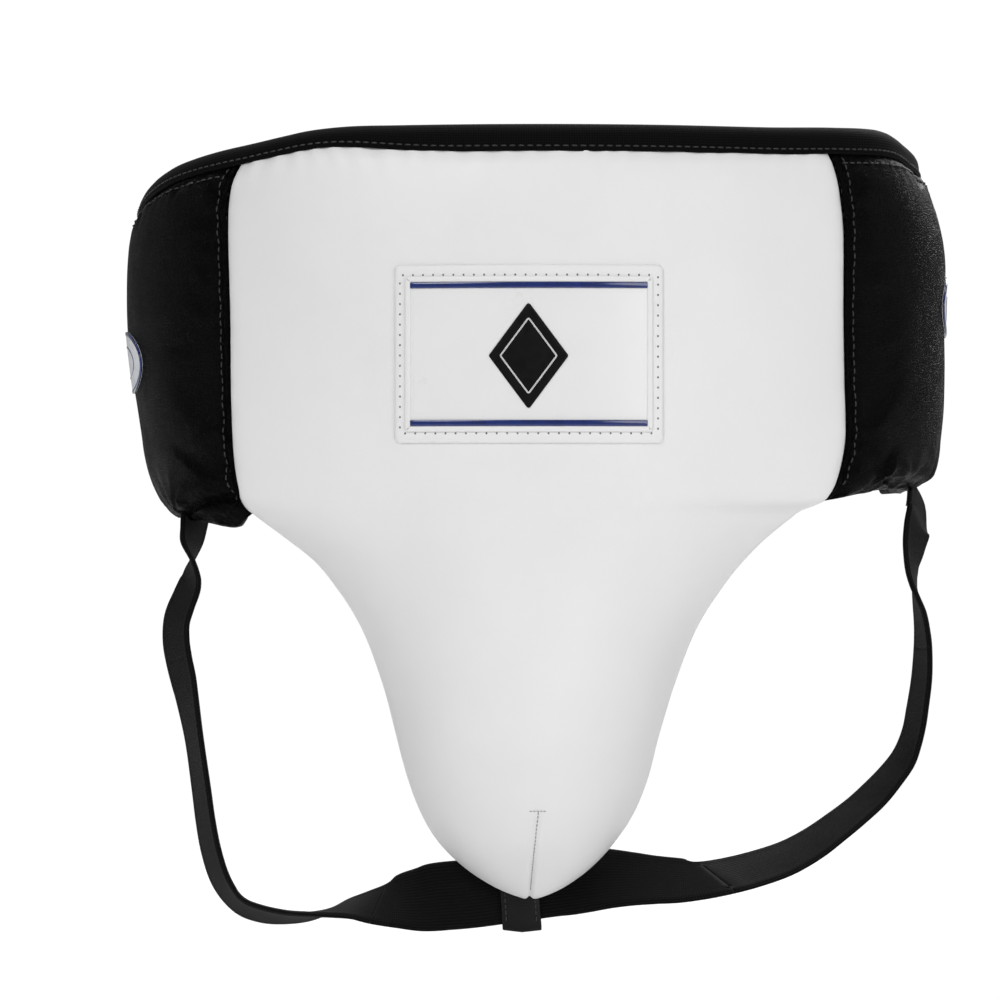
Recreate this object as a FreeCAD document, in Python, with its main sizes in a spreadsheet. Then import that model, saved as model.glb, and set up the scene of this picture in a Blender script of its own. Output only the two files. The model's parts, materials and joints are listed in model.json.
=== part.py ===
import FreeCAD, Part
import Sketcher
import math
import os

# A boxer's groin protector: a padded belly panel that narrows into a rigid cup, hip pads,
# hinged kidney wings with an elastic rear closure, and one elastic leg strap in a keeper.
# Millimetres. +Z is up, -Y is the front, +X is the wearer's left. The origin is the middle
# of the waist opening, level with the highest point of the front's top edge.

doc = FreeCAD.newDocument("groin_protector")
sheet = doc.addObject("Spreadsheet::Sheet", "Dims")

DIMS = {
    # plan of the belt: a wide front arc and tighter hip arcs
    "front_radius": 227, "front_centre_y": 91, "seam_half": 137, "seam_y": -90,
    "hip_radius": 118.5, "hip_centre_x": 65.5, "hip_centre_y": 4.5, "flex_y": 51,
    "wing_start_y": 54, "wing_end_x": 113, "wing_depth": 18, "wing_end_top": -44,
    "wing_end_bottom": -131, "wing_line_x": 190, "blank_low": -180, "blank_high": 10,
    # layers of the padding, measured inwards from the outer surface
    "cover_skin": 1.4, "lining_skin": 1.2, "core_outer": 12, "core_inner": 15, "pad_depth": 25.2,
    # rigid cup between the two foams
    "cup_top": -190, "cup_rim_y": -93,
    # fabric binding over the top edge
    "binding_height": 11, "binding_wall": 1.2,
    # front label
    "label_half": 58, "label_top": -60, "label_bottom": -136.5, "label_leather": 1.5,
    "label_border": 5, "frame_height": 1.1, "frame_width": 2.5, "face_height": 0.6,
    "bar_height": 2.6, "bar_proud": 0.8, "emblem_half": 17, "emblem_top": -76,
    "emblem_bottom": -122, "emblem_proud": 0.5,
    # rear closure: elastic bands faced with loop and hook pile
    "rear_radius": 339.6, "rear_centre_y": -214.6, "elastic": 2.4, "rear_top": -50,
    "rear_bottom": -125, "pile": 1.2, "pile_gap": 0.3, "peel_x": 101, "peel_gap": 0.4,
    "band_end": -2, "loop_start": -100, "loop_end": -6, "loop_margin": 3, "elastic_end": -62,
    "hook_start": -58, "hook_end": -8, "hook_margin": 4, "tab_end": -78, "tab_margin": 14,
    # leg strap and its keeper
    "strap_width": 30, "strap_thick": 2, "strap_y": -87.2, "keeper_x": -5, "keeper_half": 8.5,
    "keeper_top": -311.5, "keeper_bottom": -346.3, "keeper_leather": 1.6, "keeper_room": 0.2,
    # small trim
    "welt_width": 4.5, "welt_proud": 0.9, "welt_gap": 2,
    "badge_half": 31, "badge_rise": 14, "badge_proud": 0.8,
}

# Sections of the front panel from the top down: height, half width, the front surface's y,
# and how far the surface turns under, in degrees.
PANEL = [(4, 137, -136, 0), (-150, 137, -136, 0), (-160, 129, -137, 0), (-168, 116, -138, 0),
         (-180, 101, -140, 0), (-195, 86.5, -142, 0), (-215, 73, -144.5, 0), (-240, 63, -146, 4),
         (-262, 56.5, -144, 12), (-282, 50.5, -138, 22), (-298, 44, -131.5, 35),
         (-311, 36, -124, 48), (-321, 26, -114, 60), (-328, 16, -104, 72), (-332, 6, -94, 85)]
PANEL_WORDS = ("height", "half", "front", "under")

# The front's top edge, across from the wearer's right to the wearer's left.
FRONT_TOP = [(-137, -9), (-102, -2.6), (-62, 0), (110, -0.2), (137, 0)]

# The two sides of the belt; the wearer's right hangs lower. Pairs are heights at the seam
# and at the flex channel. The badge is its middle's y and height.
SIDES = {
    "right": {"sign": -1, "top": (-9, -38), "bottom": (-170, -166), "wing": (-38, -160),
              "badge": (-11, -99)},
    "left": {"sign": 1, "top": (0, -13), "bottom": (-163, -158), "wing": (-16, -152),
             "badge": (12, -74)},
}

# The strap's line seen from the front: distance out from the middle, height, and how far its
# width is turned out of square with the view, in degrees. Each side lies in an upright plane
# through its two held ends, where a hanging loop comes to rest, and twists twice on its way.
STRAP = {
    "right": {
        "inner": (66, -87.2), "outer": (150, -59.3),
        "top": [(150, -171, 0), (150.2, -179, -5), (150, -187, -23)],
        "upper_twist": [(150, -187, -23), (150, -192.3, -33), (150.7, -197.6, -39),
                        (153.6, -204.7, -41)],
        "loop": [(153.6, -204.7, -41), (156.8, -213.5, -43.5), (157.2, -222.5, -44.5),
                 (155.9, -231, -44), (153.8, -240, -43), (152, -248.7, -40),
                 (148.9, -266.3, -36), (145.7, -288.3, -36.5), (143.9, -301.5, -37),
                 (141.4, -314.6, -37.5), (137.3, -326.9, -36.5), (131, -335.9, -31.5),
                 (123.8, -340.4, -24), (114.8, -342.3, -18), (103, -342.6, -10)],
        "lower_twist": [(103, -342.6, -10), (91.6, -340.7, 0.5), (83.5, -338.7, 10),
                        (74.7, -337.2, 19), (66, -336.3, 32.5)],
    },
    "left": {
        "inner": (80, -87.2), "outer": (168.9, -23.9),
        "top": [(170.6, -163, 60.5), (170.3, -175, 58.5), (168.9, -182.9, 54)],
        "upper_twist": [(168.9, -182.9, 54), (168.3, -189.1, 48), (168.8, -195.3, 42.5),
                        (169.9, -200.7, 37)],
        "loop": [(169.9, -200.7, 37), (171.7, -208.7, 30.5), (172.9, -217.6, 27.5),
                 (173.3, -226.6, 25), (172.7, -240, 22.5), (170.8, -253.2, 21),
                 (169.2, -262.1, 20), (166.2, -270.9, 16.5), (161.7, -278.8, 9.5),
                 (155, -286.6, 5), (147.3, -294.3, 1), (138.3, -301.3, -2),
                 (128.4, -308.2, -5), (117.6, -314.5, -10.5), (105.1, -319.5, -17)],
        "lower_twist": [(105.1, -319.5, -17), (91.9, -322.9, -20.5), (80, -324.8, -24)],
    },
}
STRAP_MIDDLE = [(80, -324.8, -24), (66.5, -326, -35.4), (54.4, -325.8, -40.7),
                (44, -325.4, -47.7), (33.8, -325.3, -57), (25, -325.7, -68),
                (17, -326.3, -79), (8, -327.2, -90), (-22, -331.5, -90),
                (-39.6, -333.2, -81), (-48, -334.5, -65), (-57, -335.4, -49),
                (-66, -336.3, -32.5)]

BACK_Y = -86           # where the panel's sections close, behind the plane they are trimmed to
FAR = 700              # reach of a trimming window's outer edge


def fill_sheet():
    """Every driving size gets a cell of its own, with its name beside it."""
    cells = dict(DIMS)
    for index, station in enumerate(PANEL):
        for word, value in zip(PANEL_WORDS, station):
            cells["panel_%s_%d" % (word, index)] = value
    for row, (alias, value) in enumerate(cells.items(), start=1):
        sheet.set("A%d" % row, alias)
        sheet.set("B%d" % row, str(value))
        sheet.setAlias("B%d" % row, alias)
    doc.recompute()


def evaluate(expression):
    """The value of an expression over the sheet's cells."""
    return float(sheet.evalExpression(str(expression)))


def make_body(label):
    body = doc.addObject("PartDesign::Body", label)
    body.Label = label
    return body


def make_sketch(body, role, offset=None):
    """A sketch on one of the body's origin planes, moved along its normal by an expression."""
    plane = next(f for f in body.Origin.OriginFeatures if f.Role == role)
    sketch = body.newObject("Sketcher::SketchObject", body.Name + "_sketch")
    sketch.AttachmentSupport = (plane, [""])
    sketch.MapMode = "FlatFace"
    if offset is not None:
        sketch.setExpression("AttachmentOffset.Base.z", offset)
    return sketch


def constrain(sketch, expression, *terms):
    """A driven size: the constraint takes its value from the sheet."""
    index = sketch.addConstraint(Sketcher.Constraint(*terms))
    sketch.setExpression("Constraints[%d]" % index, str(expression))


def pin_point(sketch, geometry, point, place_x, place_y):
    """Holds a point at a place given by two expressions, measured from the sketch's origin."""
    for kind, expression in (("DistanceX", place_x), ("DistanceY", place_y)):
        constrain(sketch, expression, kind, -1, 1, geometry, point, evaluate(expression))


def add_circle(sketch, radius, centre_x, centre_y):
    place = FreeCAD.Vector(evaluate(centre_x), evaluate(centre_y), 0)
    circle = Part.Circle(place, FreeCAD.Vector(0, 0, 1), evaluate(radius))
    geometry = sketch.addGeometry(circle, False)
    constrain(sketch, radius, "Radius", geometry, evaluate(radius))
    pin_point(sketch, geometry, 3, centre_x, centre_y)


def add_outline(sketch, corners):
    """A closed polygon whose corners are pairs of expressions or numbers."""
    spots = [FreeCAD.Vector(evaluate(x), evaluate(y), 0) for x, y in corners]
    ends = spots[1:] + spots[:1]
    lines = [sketch.addGeometry(Part.LineSegment(a, b), False) for a, b in zip(spots, ends)]
    for line, following in zip(lines, lines[1:] + lines[:1]):
        sketch.addConstraint(Sketcher.Constraint("Coincident", line, 2, following, 1))
    for line, (x, y) in zip(lines, corners):
        pin_point(sketch, line, 1, x, y)


def rectangle(x_low, x_high, y_low, y_high):
    return [(x_low, y_low), (x_high, y_low), (x_high, y_high), (x_low, y_high)]


def trim(body, role, corners):
    """Keeps only what lies inside an outline, seen along the plane's normal."""
    sketch = make_sketch(body, role)
    add_outline(sketch, rectangle(-FAR, FAR, -FAR, FAR))
    add_outline(sketch, corners)
    pocket = body.newObject("PartDesign::Pocket", body.Name + "_trim")
    pocket.Profile = sketch
    pocket.Midplane = True
    pocket.Length = 2 * FAR
    return pocket


def make_ring(label, centre, outer, inner):
    """An upright ring, the blank that every curved layer of the belt is cut from."""
    body = make_body(label)
    sketch = make_sketch(body, "XY_Plane", "Dims.blank_low")
    add_circle(sketch, outer, *centre)
    add_circle(sketch, inner, *centre)
    pad = body.newObject("PartDesign::Pad", label + "_ring")
    pad.Profile = sketch
    pad.setExpression("Length", "Dims.blank_high - Dims.blank_low")
    return body


def add_section(body, index, inset):
    """One section of the front panel: an arc closed by a straight back, inset from the surface."""
    half, front = "Dims.panel_half_%d" % index, "Dims.panel_front_%d" % index
    under = "Dims.panel_under_%d" % index
    depth = "(Dims.seam_y - %s)" % front
    full = "(%s * %s + %s * %s) / 2 / %s" % (half, half, depth, depth, depth)
    radius = "%s - (%s) * cos(%s)" % (full, inset, under)
    middle = "%s + %s" % (front, full)
    rise = "Dims.panel_height_%d + (%s) * sin(%s)" % (index, inset, under)
    sketch = make_sketch(body, "XY_Plane", rise)
    size, centre_y = evaluate(radius), evaluate(middle)
    reach = math.sqrt(size ** 2 - (BACK_Y - centre_y) ** 2)
    right = math.atan2(BACK_Y - centre_y, -reach) % (2 * math.pi)
    left = math.atan2(BACK_Y - centre_y, reach) % (2 * math.pi)
    if left < right:
        left += 2 * math.pi
    circle = Part.Circle(FreeCAD.Vector(0, centre_y, 0), FreeCAD.Vector(0, 0, 1), size)
    arc = sketch.addGeometry(Part.ArcOfCircle(circle, right, left), False)
    back = sketch.addGeometry(Part.LineSegment(FreeCAD.Vector(reach, BACK_Y, 0),
                                               FreeCAD.Vector(-reach, BACK_Y, 0)), False)
    sketch.addConstraint(Sketcher.Constraint("Coincident", arc, 2, back, 1))
    sketch.addConstraint(Sketcher.Constraint("Coincident", back, 2, arc, 1))
    sketch.addConstraint(Sketcher.Constraint("Horizontal", back))
    constrain(sketch, radius, "Radius", arc, size)
    pin_point(sketch, arc, 3, "0", middle)
    constrain(sketch, BACK_Y, "DistanceY", -1, 1, back, 1, BACK_Y)
    return sketch


def add_loft(body, kind, inset):
    sections = [add_section(body, index, inset) for index in range(len(PANEL))]
    loft = body.newObject("PartDesign::" + kind, body.Name + "_loft")
    loft.Profile = sections[0]
    loft.Sections = sections[1:]
    loft.Ruled = True
    return loft


def panel_outline(low):
    """The front panel's outline from the front: its top edge, and cut off straight at low."""
    return FRONT_TOP + [(FAR / 2, FRONT_TOP[-1][1]), (FAR / 2, low), (-FAR / 2, low),
                        (-FAR / 2, FRONT_TOP[0][1])]


def make_panel_layer(label, outer, inner, outline, y_low=-FAR / 2, y_high="Dims.seam_y"):
    """A layer of the front panel between two insets, trimmed from the front and in plan."""
    body = make_body(label)
    add_loft(body, "AdditiveLoft", outer)
    add_loft(body, "SubtractiveLoft", inner)
    trim(body, "XZ_Plane", outline)
    trim(body, "XY_Plane", rectangle(-FAR / 2, FAR / 2, y_low, y_high))
    return body


FRONT_CENTRE = ("0", "Dims.front_centre_y")
FRONT_ARC = rectangle(-FAR / 2, FAR / 2, -FAR / 2, "Dims.seam_y")
DEPTH = "Dims.pad_depth"
LINING = "(Dims.pad_depth - Dims.lining_skin)"


def make_front():
    """The panel's layers, from the leather outside to the lining inside."""
    whole = panel_outline(-FAR / 2)
    cup = rectangle(-FAR / 2, FAR / 2, -FAR / 2, "Dims.cup_top")
    make_panel_layer("front_cover", "0", "Dims.cover_skin", whole)
    make_panel_layer("outer_foam", "Dims.cover_skin", "Dims.core_outer", whole)
    make_panel_layer("belly_board", "Dims.core_outer", "Dims.core_inner",
                     panel_outline("Dims.cup_top"))
    make_panel_layer("cup_shell", "Dims.core_outer", "Dims.core_inner", cup,
                     y_high="Dims.cup_rim_y")
    make_panel_layer("cup_gasket", "Dims.core_outer", "Dims.core_inner", cup,
                     y_low="Dims.cup_rim_y")
    make_panel_layer("inner_foam", "Dims.core_inner", LINING, whole)
    make_panel_layer("front_lining", LINING, DEPTH, whole)


def make_front_trim(label, outer, inner, corners):
    """A flat piece wrapped round the belly's front, standing between two heights above it."""
    body = make_ring(label, FRONT_CENTRE, "Dims.front_radius + " + outer,
                     "Dims.front_radius + " + inner)
    trim(body, "XZ_Plane", corners)
    trim(body, "XY_Plane", FRONT_ARC)
    return body


def make_label():
    """The stitched patch on the belly: leather, raised frame, face, two bars and an emblem."""
    leather = "Dims.label_leather"
    border = "Dims.label_half - Dims.label_border"
    top, bottom = "Dims.label_top - Dims.label_border", "Dims.label_bottom + Dims.label_border"
    inside = "%s - Dims.frame_width" % border
    face_top, face_bottom = top + " - Dims.frame_width", bottom + " + Dims.frame_width"
    face = leather + " + Dims.face_height"
    make_front_trim("label_patch", leather, "0", rectangle(
        "-Dims.label_half", "Dims.label_half", "Dims.label_bottom", "Dims.label_top"))
    frame = make_front_trim("label_frame", leather + " + Dims.frame_height", leather,
                            rectangle("-(%s)" % border, border, bottom, top))
    window = make_sketch(frame, "XZ_Plane")
    add_outline(window, rectangle("-(%s)" % inside, inside, face_bottom, face_top))
    pocket = frame.newObject("PartDesign::Pocket", "label_frame_window")
    pocket.Profile = window
    pocket.Midplane = True
    pocket.Length = 2 * FAR
    make_front_trim("label_face", face, leather,
                    rectangle("-(%s)" % inside, inside, face_bottom, face_top))
    bar = face + " + Dims.bar_proud"
    make_front_trim("label_bar_upper", bar, face, rectangle(
        "-(%s)" % inside, inside, face_top + " - Dims.bar_height", face_top))
    make_front_trim("label_bar_lower", bar, face, rectangle(
        "-(%s)" % inside, inside, face_bottom, face_bottom + " + Dims.bar_height"))
    wide, high, low = "Dims.emblem_half", "Dims.emblem_top", "Dims.emblem_bottom"
    middle = "(%s + %s) / 2" % (high, low)
    make_front_trim("label_emblem", face + " + Dims.emblem_proud", face, [
        ("0", low), (wide, middle), ("0", high), ("-" + wide, middle)])


def make_binding(label, centre, radius, depth, role, top, side_trim):
    """Tape folded over a top edge: a channel that fits over the pad it is sewn to."""
    wall, height = "Dims.binding_wall", "Dims.binding_height"
    raised = [(x, "%s + %s" % (z, wall)) for x, z in top]
    lowered = [(x, "%s - %s" % (z, height)) for x, z in reversed(top)]
    under = [(x, "%s - 2 * %s" % (z, height)) for x, z in reversed(top)]
    tape = make_ring(label + "_tape", centre, "%s + %s" % (radius, wall),
                     "%s - %s - %s" % (radius, depth, wall))
    trim(tape, role, raised + lowered)
    trim(tape, "XY_Plane", side_trim)
    edge = make_ring(label + "_edge", centre, radius, "%s - %s" % (radius, depth))
    trim(edge, role, list(top) + under)
    trim(edge, "XY_Plane", side_trim)
    cut = doc.addObject("Part::Cut", label)
    cut.Label = label
    cut.Base, cut.Tool = tape, edge
    return cut


def side_window(sign, x_low, x_high, y_low, y_high):
    """A plan window on one side of the body; x runs outwards from the middle."""
    if sign > 0:
        return rectangle(x_low, x_high, y_low, y_high)
    return rectangle("-(%s)" % x_high, "-(%s)" % x_low, y_low, y_high)


def hip_centre(sign):
    return ("%d * Dims.hip_centre_x" % sign, "Dims.hip_centre_y")


def make_hip(side, facts):
    """A hip pad from the white panel's seam back to the flex channel, its tape, welt, badge."""
    sign, centre, radius = facts["sign"], hip_centre(facts["sign"]), "Dims.hip_radius"
    plan = side_window(sign, "Dims.hip_centre_x", FAR / 2, "Dims.seam_y", "Dims.flex_y")
    top = [("Dims.seam_y", facts["top"][0]), ("Dims.flex_y", facts["top"][1])]
    bottom = [("Dims.flex_y", facts["bottom"][1]), ("Dims.seam_y", facts["bottom"][0])]
    layers = {"cover": ("0", "Dims.cover_skin"), "foam": ("Dims.cover_skin", LINING),
              "lining": (LINING, DEPTH)}
    for layer, (outer, inner) in layers.items():
        body = make_ring("%s_hip_%s" % (side, layer), centre, radius + " - " + outer,
                         radius + " - " + inner)
        trim(body, "YZ_Plane", top + bottom)
        trim(body, "XY_Plane", plan)
    make_binding(side + "_hip_binding", centre, radius, DEPTH, "YZ_Plane", top, plan)
    under = "-Dims.binding_height - Dims.binding_wall"
    welt = make_ring(side + "_seam_welt", centre, radius + " + Dims.welt_proud", radius)
    trim(welt, "YZ_Plane", rectangle("Dims.seam_y", "Dims.seam_y + Dims.welt_width",
                                     str(facts["bottom"][0]),
                                     "%s %s - Dims.welt_gap" % (facts["top"][0], under)))
    trim(welt, "XY_Plane", plan)
    middle_y, middle_z = facts["badge"]
    badge = make_ring(side + "_badge", centre, radius + " + Dims.badge_proud", radius)
    trim(badge, "YZ_Plane", oval(middle_y, middle_z, "Dims.badge_half", "Dims.badge_rise"))
    trim(badge, "XY_Plane", plan)


def oval(middle_x, middle_y, half, rise):
    """A sixteen-sided oval."""
    count = 16
    angles = [360.0 * (step + 0.5) / count for step in range(count)]
    return [("%s + %s * cos(%s)" % (middle_x, half, angle),
             "%s + %s * sin(%s)" % (middle_y, rise, angle)) for angle in angles]


def make_wing(side, facts):
    """A kidney wing behind the flex channel, tapering towards the rear elastic."""
    sign, centre, radius = facts["sign"], hip_centre(facts["sign"]), "Dims.hip_radius"
    depth = "Dims.wing_depth"
    plan = side_window(sign, "Dims.wing_end_x", FAR / 2, "Dims.wing_start_y", FAR / 2)
    start, end = "%d * Dims.wing_line_x" % sign, "%d * Dims.wing_end_x" % sign
    top = [(start, facts["wing"][0]), (end, "Dims.wing_end_top")]
    bottom = [(end, "Dims.wing_end_bottom"), (start, facts["wing"][1])]
    skin = "(Dims.wing_depth - Dims.lining_skin)"
    layers = {"cover": ("0", "Dims.cover_skin"), "foam": ("Dims.cover_skin", skin),
              "lining": (skin, depth)}
    for layer, (outer, inner) in layers.items():
        body = make_ring("%s_wing_%s" % (side, layer), centre, radius + " - " + outer,
                         radius + " - " + inner)
        trim(body, "XZ_Plane", top + bottom)
        trim(body, "XY_Plane", plan)
    make_binding(side + "_wing_binding", centre, radius, depth, "XZ_Plane", top, plan)


def make_rear_band(label, outer, inner, x_low, x_high, inset="0"):
    """A flat strip of the rear closure, curved round the back, between two radii."""
    body = make_ring(label, ("0", "Dims.rear_centre_y"), "Dims.rear_radius + " + outer,
                     "Dims.rear_radius + " + inner)
    trim(body, "XZ_Plane", rectangle(x_low, x_high, "Dims.rear_bottom + " + inset,
                                     "Dims.rear_top - " + inset))
    trim(body, "XY_Plane", rectangle(-FAR / 2, FAR / 2, 0, FAR / 2))
    return body


def make_closure():
    """Loop band on the right wing; hook strap hinged to a sewn stub on the left wing."""
    loop = "Dims.pile"
    hook = "Dims.pile + Dims.pile_gap"
    band = "(2 * Dims.pile + Dims.pile_gap)"
    outside = band + " + Dims.elastic"
    make_rear_band("receiving_band", "0", "-Dims.elastic", "-Dims.wing_end_x", "Dims.band_end")
    make_rear_band("loop_patch", loop, "0", "Dims.loop_start", "Dims.loop_end",
                   "Dims.loop_margin")
    make_rear_band("closure_stub", outside, band, "Dims.peel_x + Dims.peel_gap",
                   "Dims.wing_end_x")
    make_rear_band("closure_elastic", outside, band, "Dims.elastic_end",
                   "Dims.peel_x - Dims.peel_gap")
    make_rear_band("hook_patch", band, hook, "Dims.hook_start", "Dims.hook_end",
                   "Dims.hook_margin")
    make_rear_band("pull_tab", outside, band, "Dims.tab_end", "Dims.elastic_end",
                   "Dims.tab_margin")


def make_keeper():
    """The leather loop under the cup that the leg strap runs through."""
    body = make_body("strap_keeper")
    room = "(Dims.strap_thick / 2 + Dims.keeper_room)"
    wall = "(Dims.strap_thick / 2 + Dims.keeper_room + Dims.keeper_leather)"
    sketch = make_sketch(body, "YZ_Plane", "Dims.keeper_x")
    add_outline(sketch, rectangle("Dims.strap_y - " + wall, "Dims.strap_y + " + wall,
                                  "Dims.keeper_bottom - Dims.keeper_leather",
                                  "Dims.keeper_top + Dims.keeper_leather"))
    add_outline(sketch, rectangle("Dims.strap_y - " + room, "Dims.strap_y + " + room,
                                  "Dims.keeper_bottom", "Dims.keeper_top"))
    pad = body.newObject("PartDesign::Pad", "strap_keeper_loop")
    pad.Profile = sketch
    pad.Midplane = True
    pad.setExpression("Length", "2 * Dims.keeper_half")


def strap_route():
    """The strap's stations from the wearer's left hip through the keeper to the right hip.

    Each is a place, the upright plane's normal there and a turn in degrees. The pieces are
    slices of the stations, so that neighbours share the section where they meet.
    """
    stations, slices = [], {}
    strap_y = evaluate("Dims.strap_y")

    def add(label, run):
        start = max(len(stations) - 1, 0)
        stations.extend(run[1:] if stations else run)
        slices[label] = (start, len(stations))

    def side_runs(side):
        sign = SIDES[side]["sign"]
        (x_in, y_in), (x_out, y_out) = STRAP[side]["inner"], STRAP[side]["outer"]
        lean = (y_out - y_in) / (x_out - x_in)
        normal = FreeCAD.Vector(-sign * lean, 1, 0).normalize()
        for piece in ("top", "upper_twist", "loop", "lower_twist"):
            run = [(FreeCAD.Vector(sign * x, y_in + (x - x_in) * lean, z), normal, turn)
                   for x, z, turn in STRAP[side][piece]]
            yield "%s_strap_%s" % (side, piece), run

    for label, run in side_runs("left"):
        add(label, run)
    add("strap_middle", [(FreeCAD.Vector(x, strap_y, z), FreeCAD.Vector(0, 1, 0), turn)
                         for x, z, turn in STRAP_MIDDLE])
    for label, run in reversed(list(side_runs("right"))):
        add(label, [(spot, normal, -turn) for spot, normal, turn in reversed(run)])
    return stations, slices


def strap_sections(stations):
    """A rectangle across the strap at every station, its width turned into view."""
    half, thin = evaluate("Dims.strap_width") / 2, evaluate("Dims.strap_thick") / 2
    sections, last = [], None
    for index, (spot, normal, degrees) in enumerate(stations):
        ahead = stations[min(index + 1, len(stations) - 1)][0]
        behind = stations[max(index - 1, 0)][0]
        along = (ahead - behind).normalize()
        across = along.cross(normal).normalize()
        turn = math.radians(degrees)
        width = (normal * math.cos(turn) + across * math.sin(turn)).normalize()
        if last is not None and width.dot(last) < 0:
            width = -width
        face = along.cross(width).normalize()
        corners = [spot + width * (a * half) + face * (b * thin)
                   for a, b in ((1, 1), (-1, 1), (-1, -1), (1, -1))]
        sections.append(Part.makePolygon(corners + corners[:1]))
        last = width
    return sections


def make_strap():
    """One elastic strap in pieces: its middle in the keeper, two loops, and the sewn ends.

    Each piece is a feature of its own, because its line has no sketch plane.
    """
    stations, slices = strap_route()
    sections = strap_sections(stations)
    for label, (start, end) in slices.items():
        feature = doc.addObject("Part::Feature", label)
        feature.Label = label
        feature.Shape = Part.makeLoft(sections[start:end], True, True)
        feature.Placement = FreeCAD.Placement()


def write_parts():
    """Checks every object, then writes each sub-part under its own label."""
    doc.recompute()
    for item in doc.Objects:
        if "Invalid" in item.State or "Error" in item.State:
            raise SystemExit("failed feature: %s %s" % (item.Name, item.State))
    used = {tool for cut in doc.Objects if cut.TypeId == "Part::Cut"
            for tool in (cut.Base.Name, cut.Tool.Name)}
    kinds = ("PartDesign::Body", "Part::Cut", "Part::Feature")
    pieces = [item for item in doc.Objects if item.TypeId in kinds and item.Name not in used]
    for item in pieces:
        if item.Shape.isNull() or not item.Shape.isValid() or not item.Shape.Solids:
            raise SystemExit("bad shape: " + item.Label)
    os.makedirs("parts", exist_ok=True)
    for item in pieces:
        item.Shape.exportStep("parts/%s.step" % item.Label)
        print("%-24s %d solid(s) %10.0f mm3" % (item.Label, len(item.Shape.Solids),
                                                item.Shape.Volume))


fill_sheet()
make_front()
make_label()
make_binding("front_binding", FRONT_CENTRE, "Dims.front_radius", DEPTH, "XZ_Plane", FRONT_TOP,
             FRONT_ARC)
for side_name, side_facts in SIDES.items():
    make_hip(side_name, side_facts)
    make_wing(side_name, side_facts)
make_closure()
make_keeper()
make_strap()
write_parts()
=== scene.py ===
import json
import math
import bpy
import bmesh
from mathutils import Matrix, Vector, noise
from mathutils.bvhtree import BVHTree

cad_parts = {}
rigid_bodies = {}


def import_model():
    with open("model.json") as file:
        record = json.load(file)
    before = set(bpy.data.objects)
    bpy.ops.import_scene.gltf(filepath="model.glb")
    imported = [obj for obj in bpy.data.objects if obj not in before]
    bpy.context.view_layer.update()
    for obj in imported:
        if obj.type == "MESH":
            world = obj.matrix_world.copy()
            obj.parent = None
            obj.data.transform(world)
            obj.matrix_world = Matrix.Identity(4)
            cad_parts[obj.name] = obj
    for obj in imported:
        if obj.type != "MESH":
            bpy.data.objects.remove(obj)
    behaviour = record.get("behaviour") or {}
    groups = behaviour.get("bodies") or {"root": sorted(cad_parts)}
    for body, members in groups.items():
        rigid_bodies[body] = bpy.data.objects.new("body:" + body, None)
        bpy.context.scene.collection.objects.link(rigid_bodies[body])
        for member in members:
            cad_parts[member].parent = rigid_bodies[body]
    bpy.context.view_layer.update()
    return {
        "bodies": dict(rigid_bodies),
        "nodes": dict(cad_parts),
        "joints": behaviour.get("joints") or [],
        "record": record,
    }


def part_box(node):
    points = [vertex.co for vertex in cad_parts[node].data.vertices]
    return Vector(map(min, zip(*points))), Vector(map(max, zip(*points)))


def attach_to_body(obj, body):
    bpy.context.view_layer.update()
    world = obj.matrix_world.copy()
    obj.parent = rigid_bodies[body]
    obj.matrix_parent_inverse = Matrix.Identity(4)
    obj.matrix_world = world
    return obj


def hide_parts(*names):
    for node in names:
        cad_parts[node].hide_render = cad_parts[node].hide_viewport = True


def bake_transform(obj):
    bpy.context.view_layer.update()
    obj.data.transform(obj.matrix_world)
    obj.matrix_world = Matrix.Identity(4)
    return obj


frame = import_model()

# The visual model of a boxer's groin protector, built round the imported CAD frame. Helper sizes
# are millimetres in the frame's own axes; meshes are made in metres.
MM = 0.001


def box_mm(node):
    low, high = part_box(node)
    return [value / MM for value in low], [value / MM for value in high]


# ---------------------------------------------------------------- sizes read from the frame
COVER_HIGH = box_mm("front_cover")[1]
HIP_HIGH = box_mm("left_hip_cover")[1]
BELLY_BACK = COVER_HIGH[1]                            # the panel's side edges
BELLY_FRONT = box_mm("front_binding")[0][1] + 1.2     # the binding stands 1.2 proud of the belly
SEAM_HALF = COVER_HIGH[0]
FRONT_R = (SEAM_HALF ** 2 + (BELLY_BACK - BELLY_FRONT) ** 2) / 2 / (BELLY_BACK - BELLY_FRONT)
FRONT_CY = BELLY_FRONT + FRONT_R
SEAM_ANGLE = math.asin(SEAM_HALF / FRONT_R)
HIP_R = (HIP_HIGH[0] - SEAM_HALF) / (1 - math.sin(SEAM_ANGLE))
HIP_CX = HIP_HIGH[0] - HIP_R
HIP_CY = BELLY_BACK + HIP_R * math.cos(SEAM_ANGLE)
ARC_SEAM = FRONT_R * SEAM_ANGLE                       # arc length from the middle to the seam
DEPTH = 25.2                                          # padding, outside to lining
WING_DEPTH = 18.0
HALF_DEPTH, HALF_WING = DEPTH / 2, WING_DEPTH / 2
TAPE_HEIGHT = 12.0
TAPE_HALF = 6.2                                       # half the pad's thickness under the tape
SIDES = {"right": -1, "left": 1}


def plan(arc, inward=0.0):
    """A point on the belt's plan curve, by arc length from the front's middle and depth."""
    reach = abs(arc)
    if reach <= ARC_SEAM:
        angle = reach / FRONT_R
        x, y = (FRONT_R - inward) * math.sin(angle), FRONT_CY - (FRONT_R - inward) * math.cos(angle)
    else:
        angle = SEAM_ANGLE + (reach - ARC_SEAM) / HIP_R
        x = HIP_CX + (HIP_R - inward) * math.sin(angle)
        y = HIP_CY - (HIP_R - inward) * math.cos(angle)
    return math.copysign(x, arc) if arc else x, y


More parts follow.
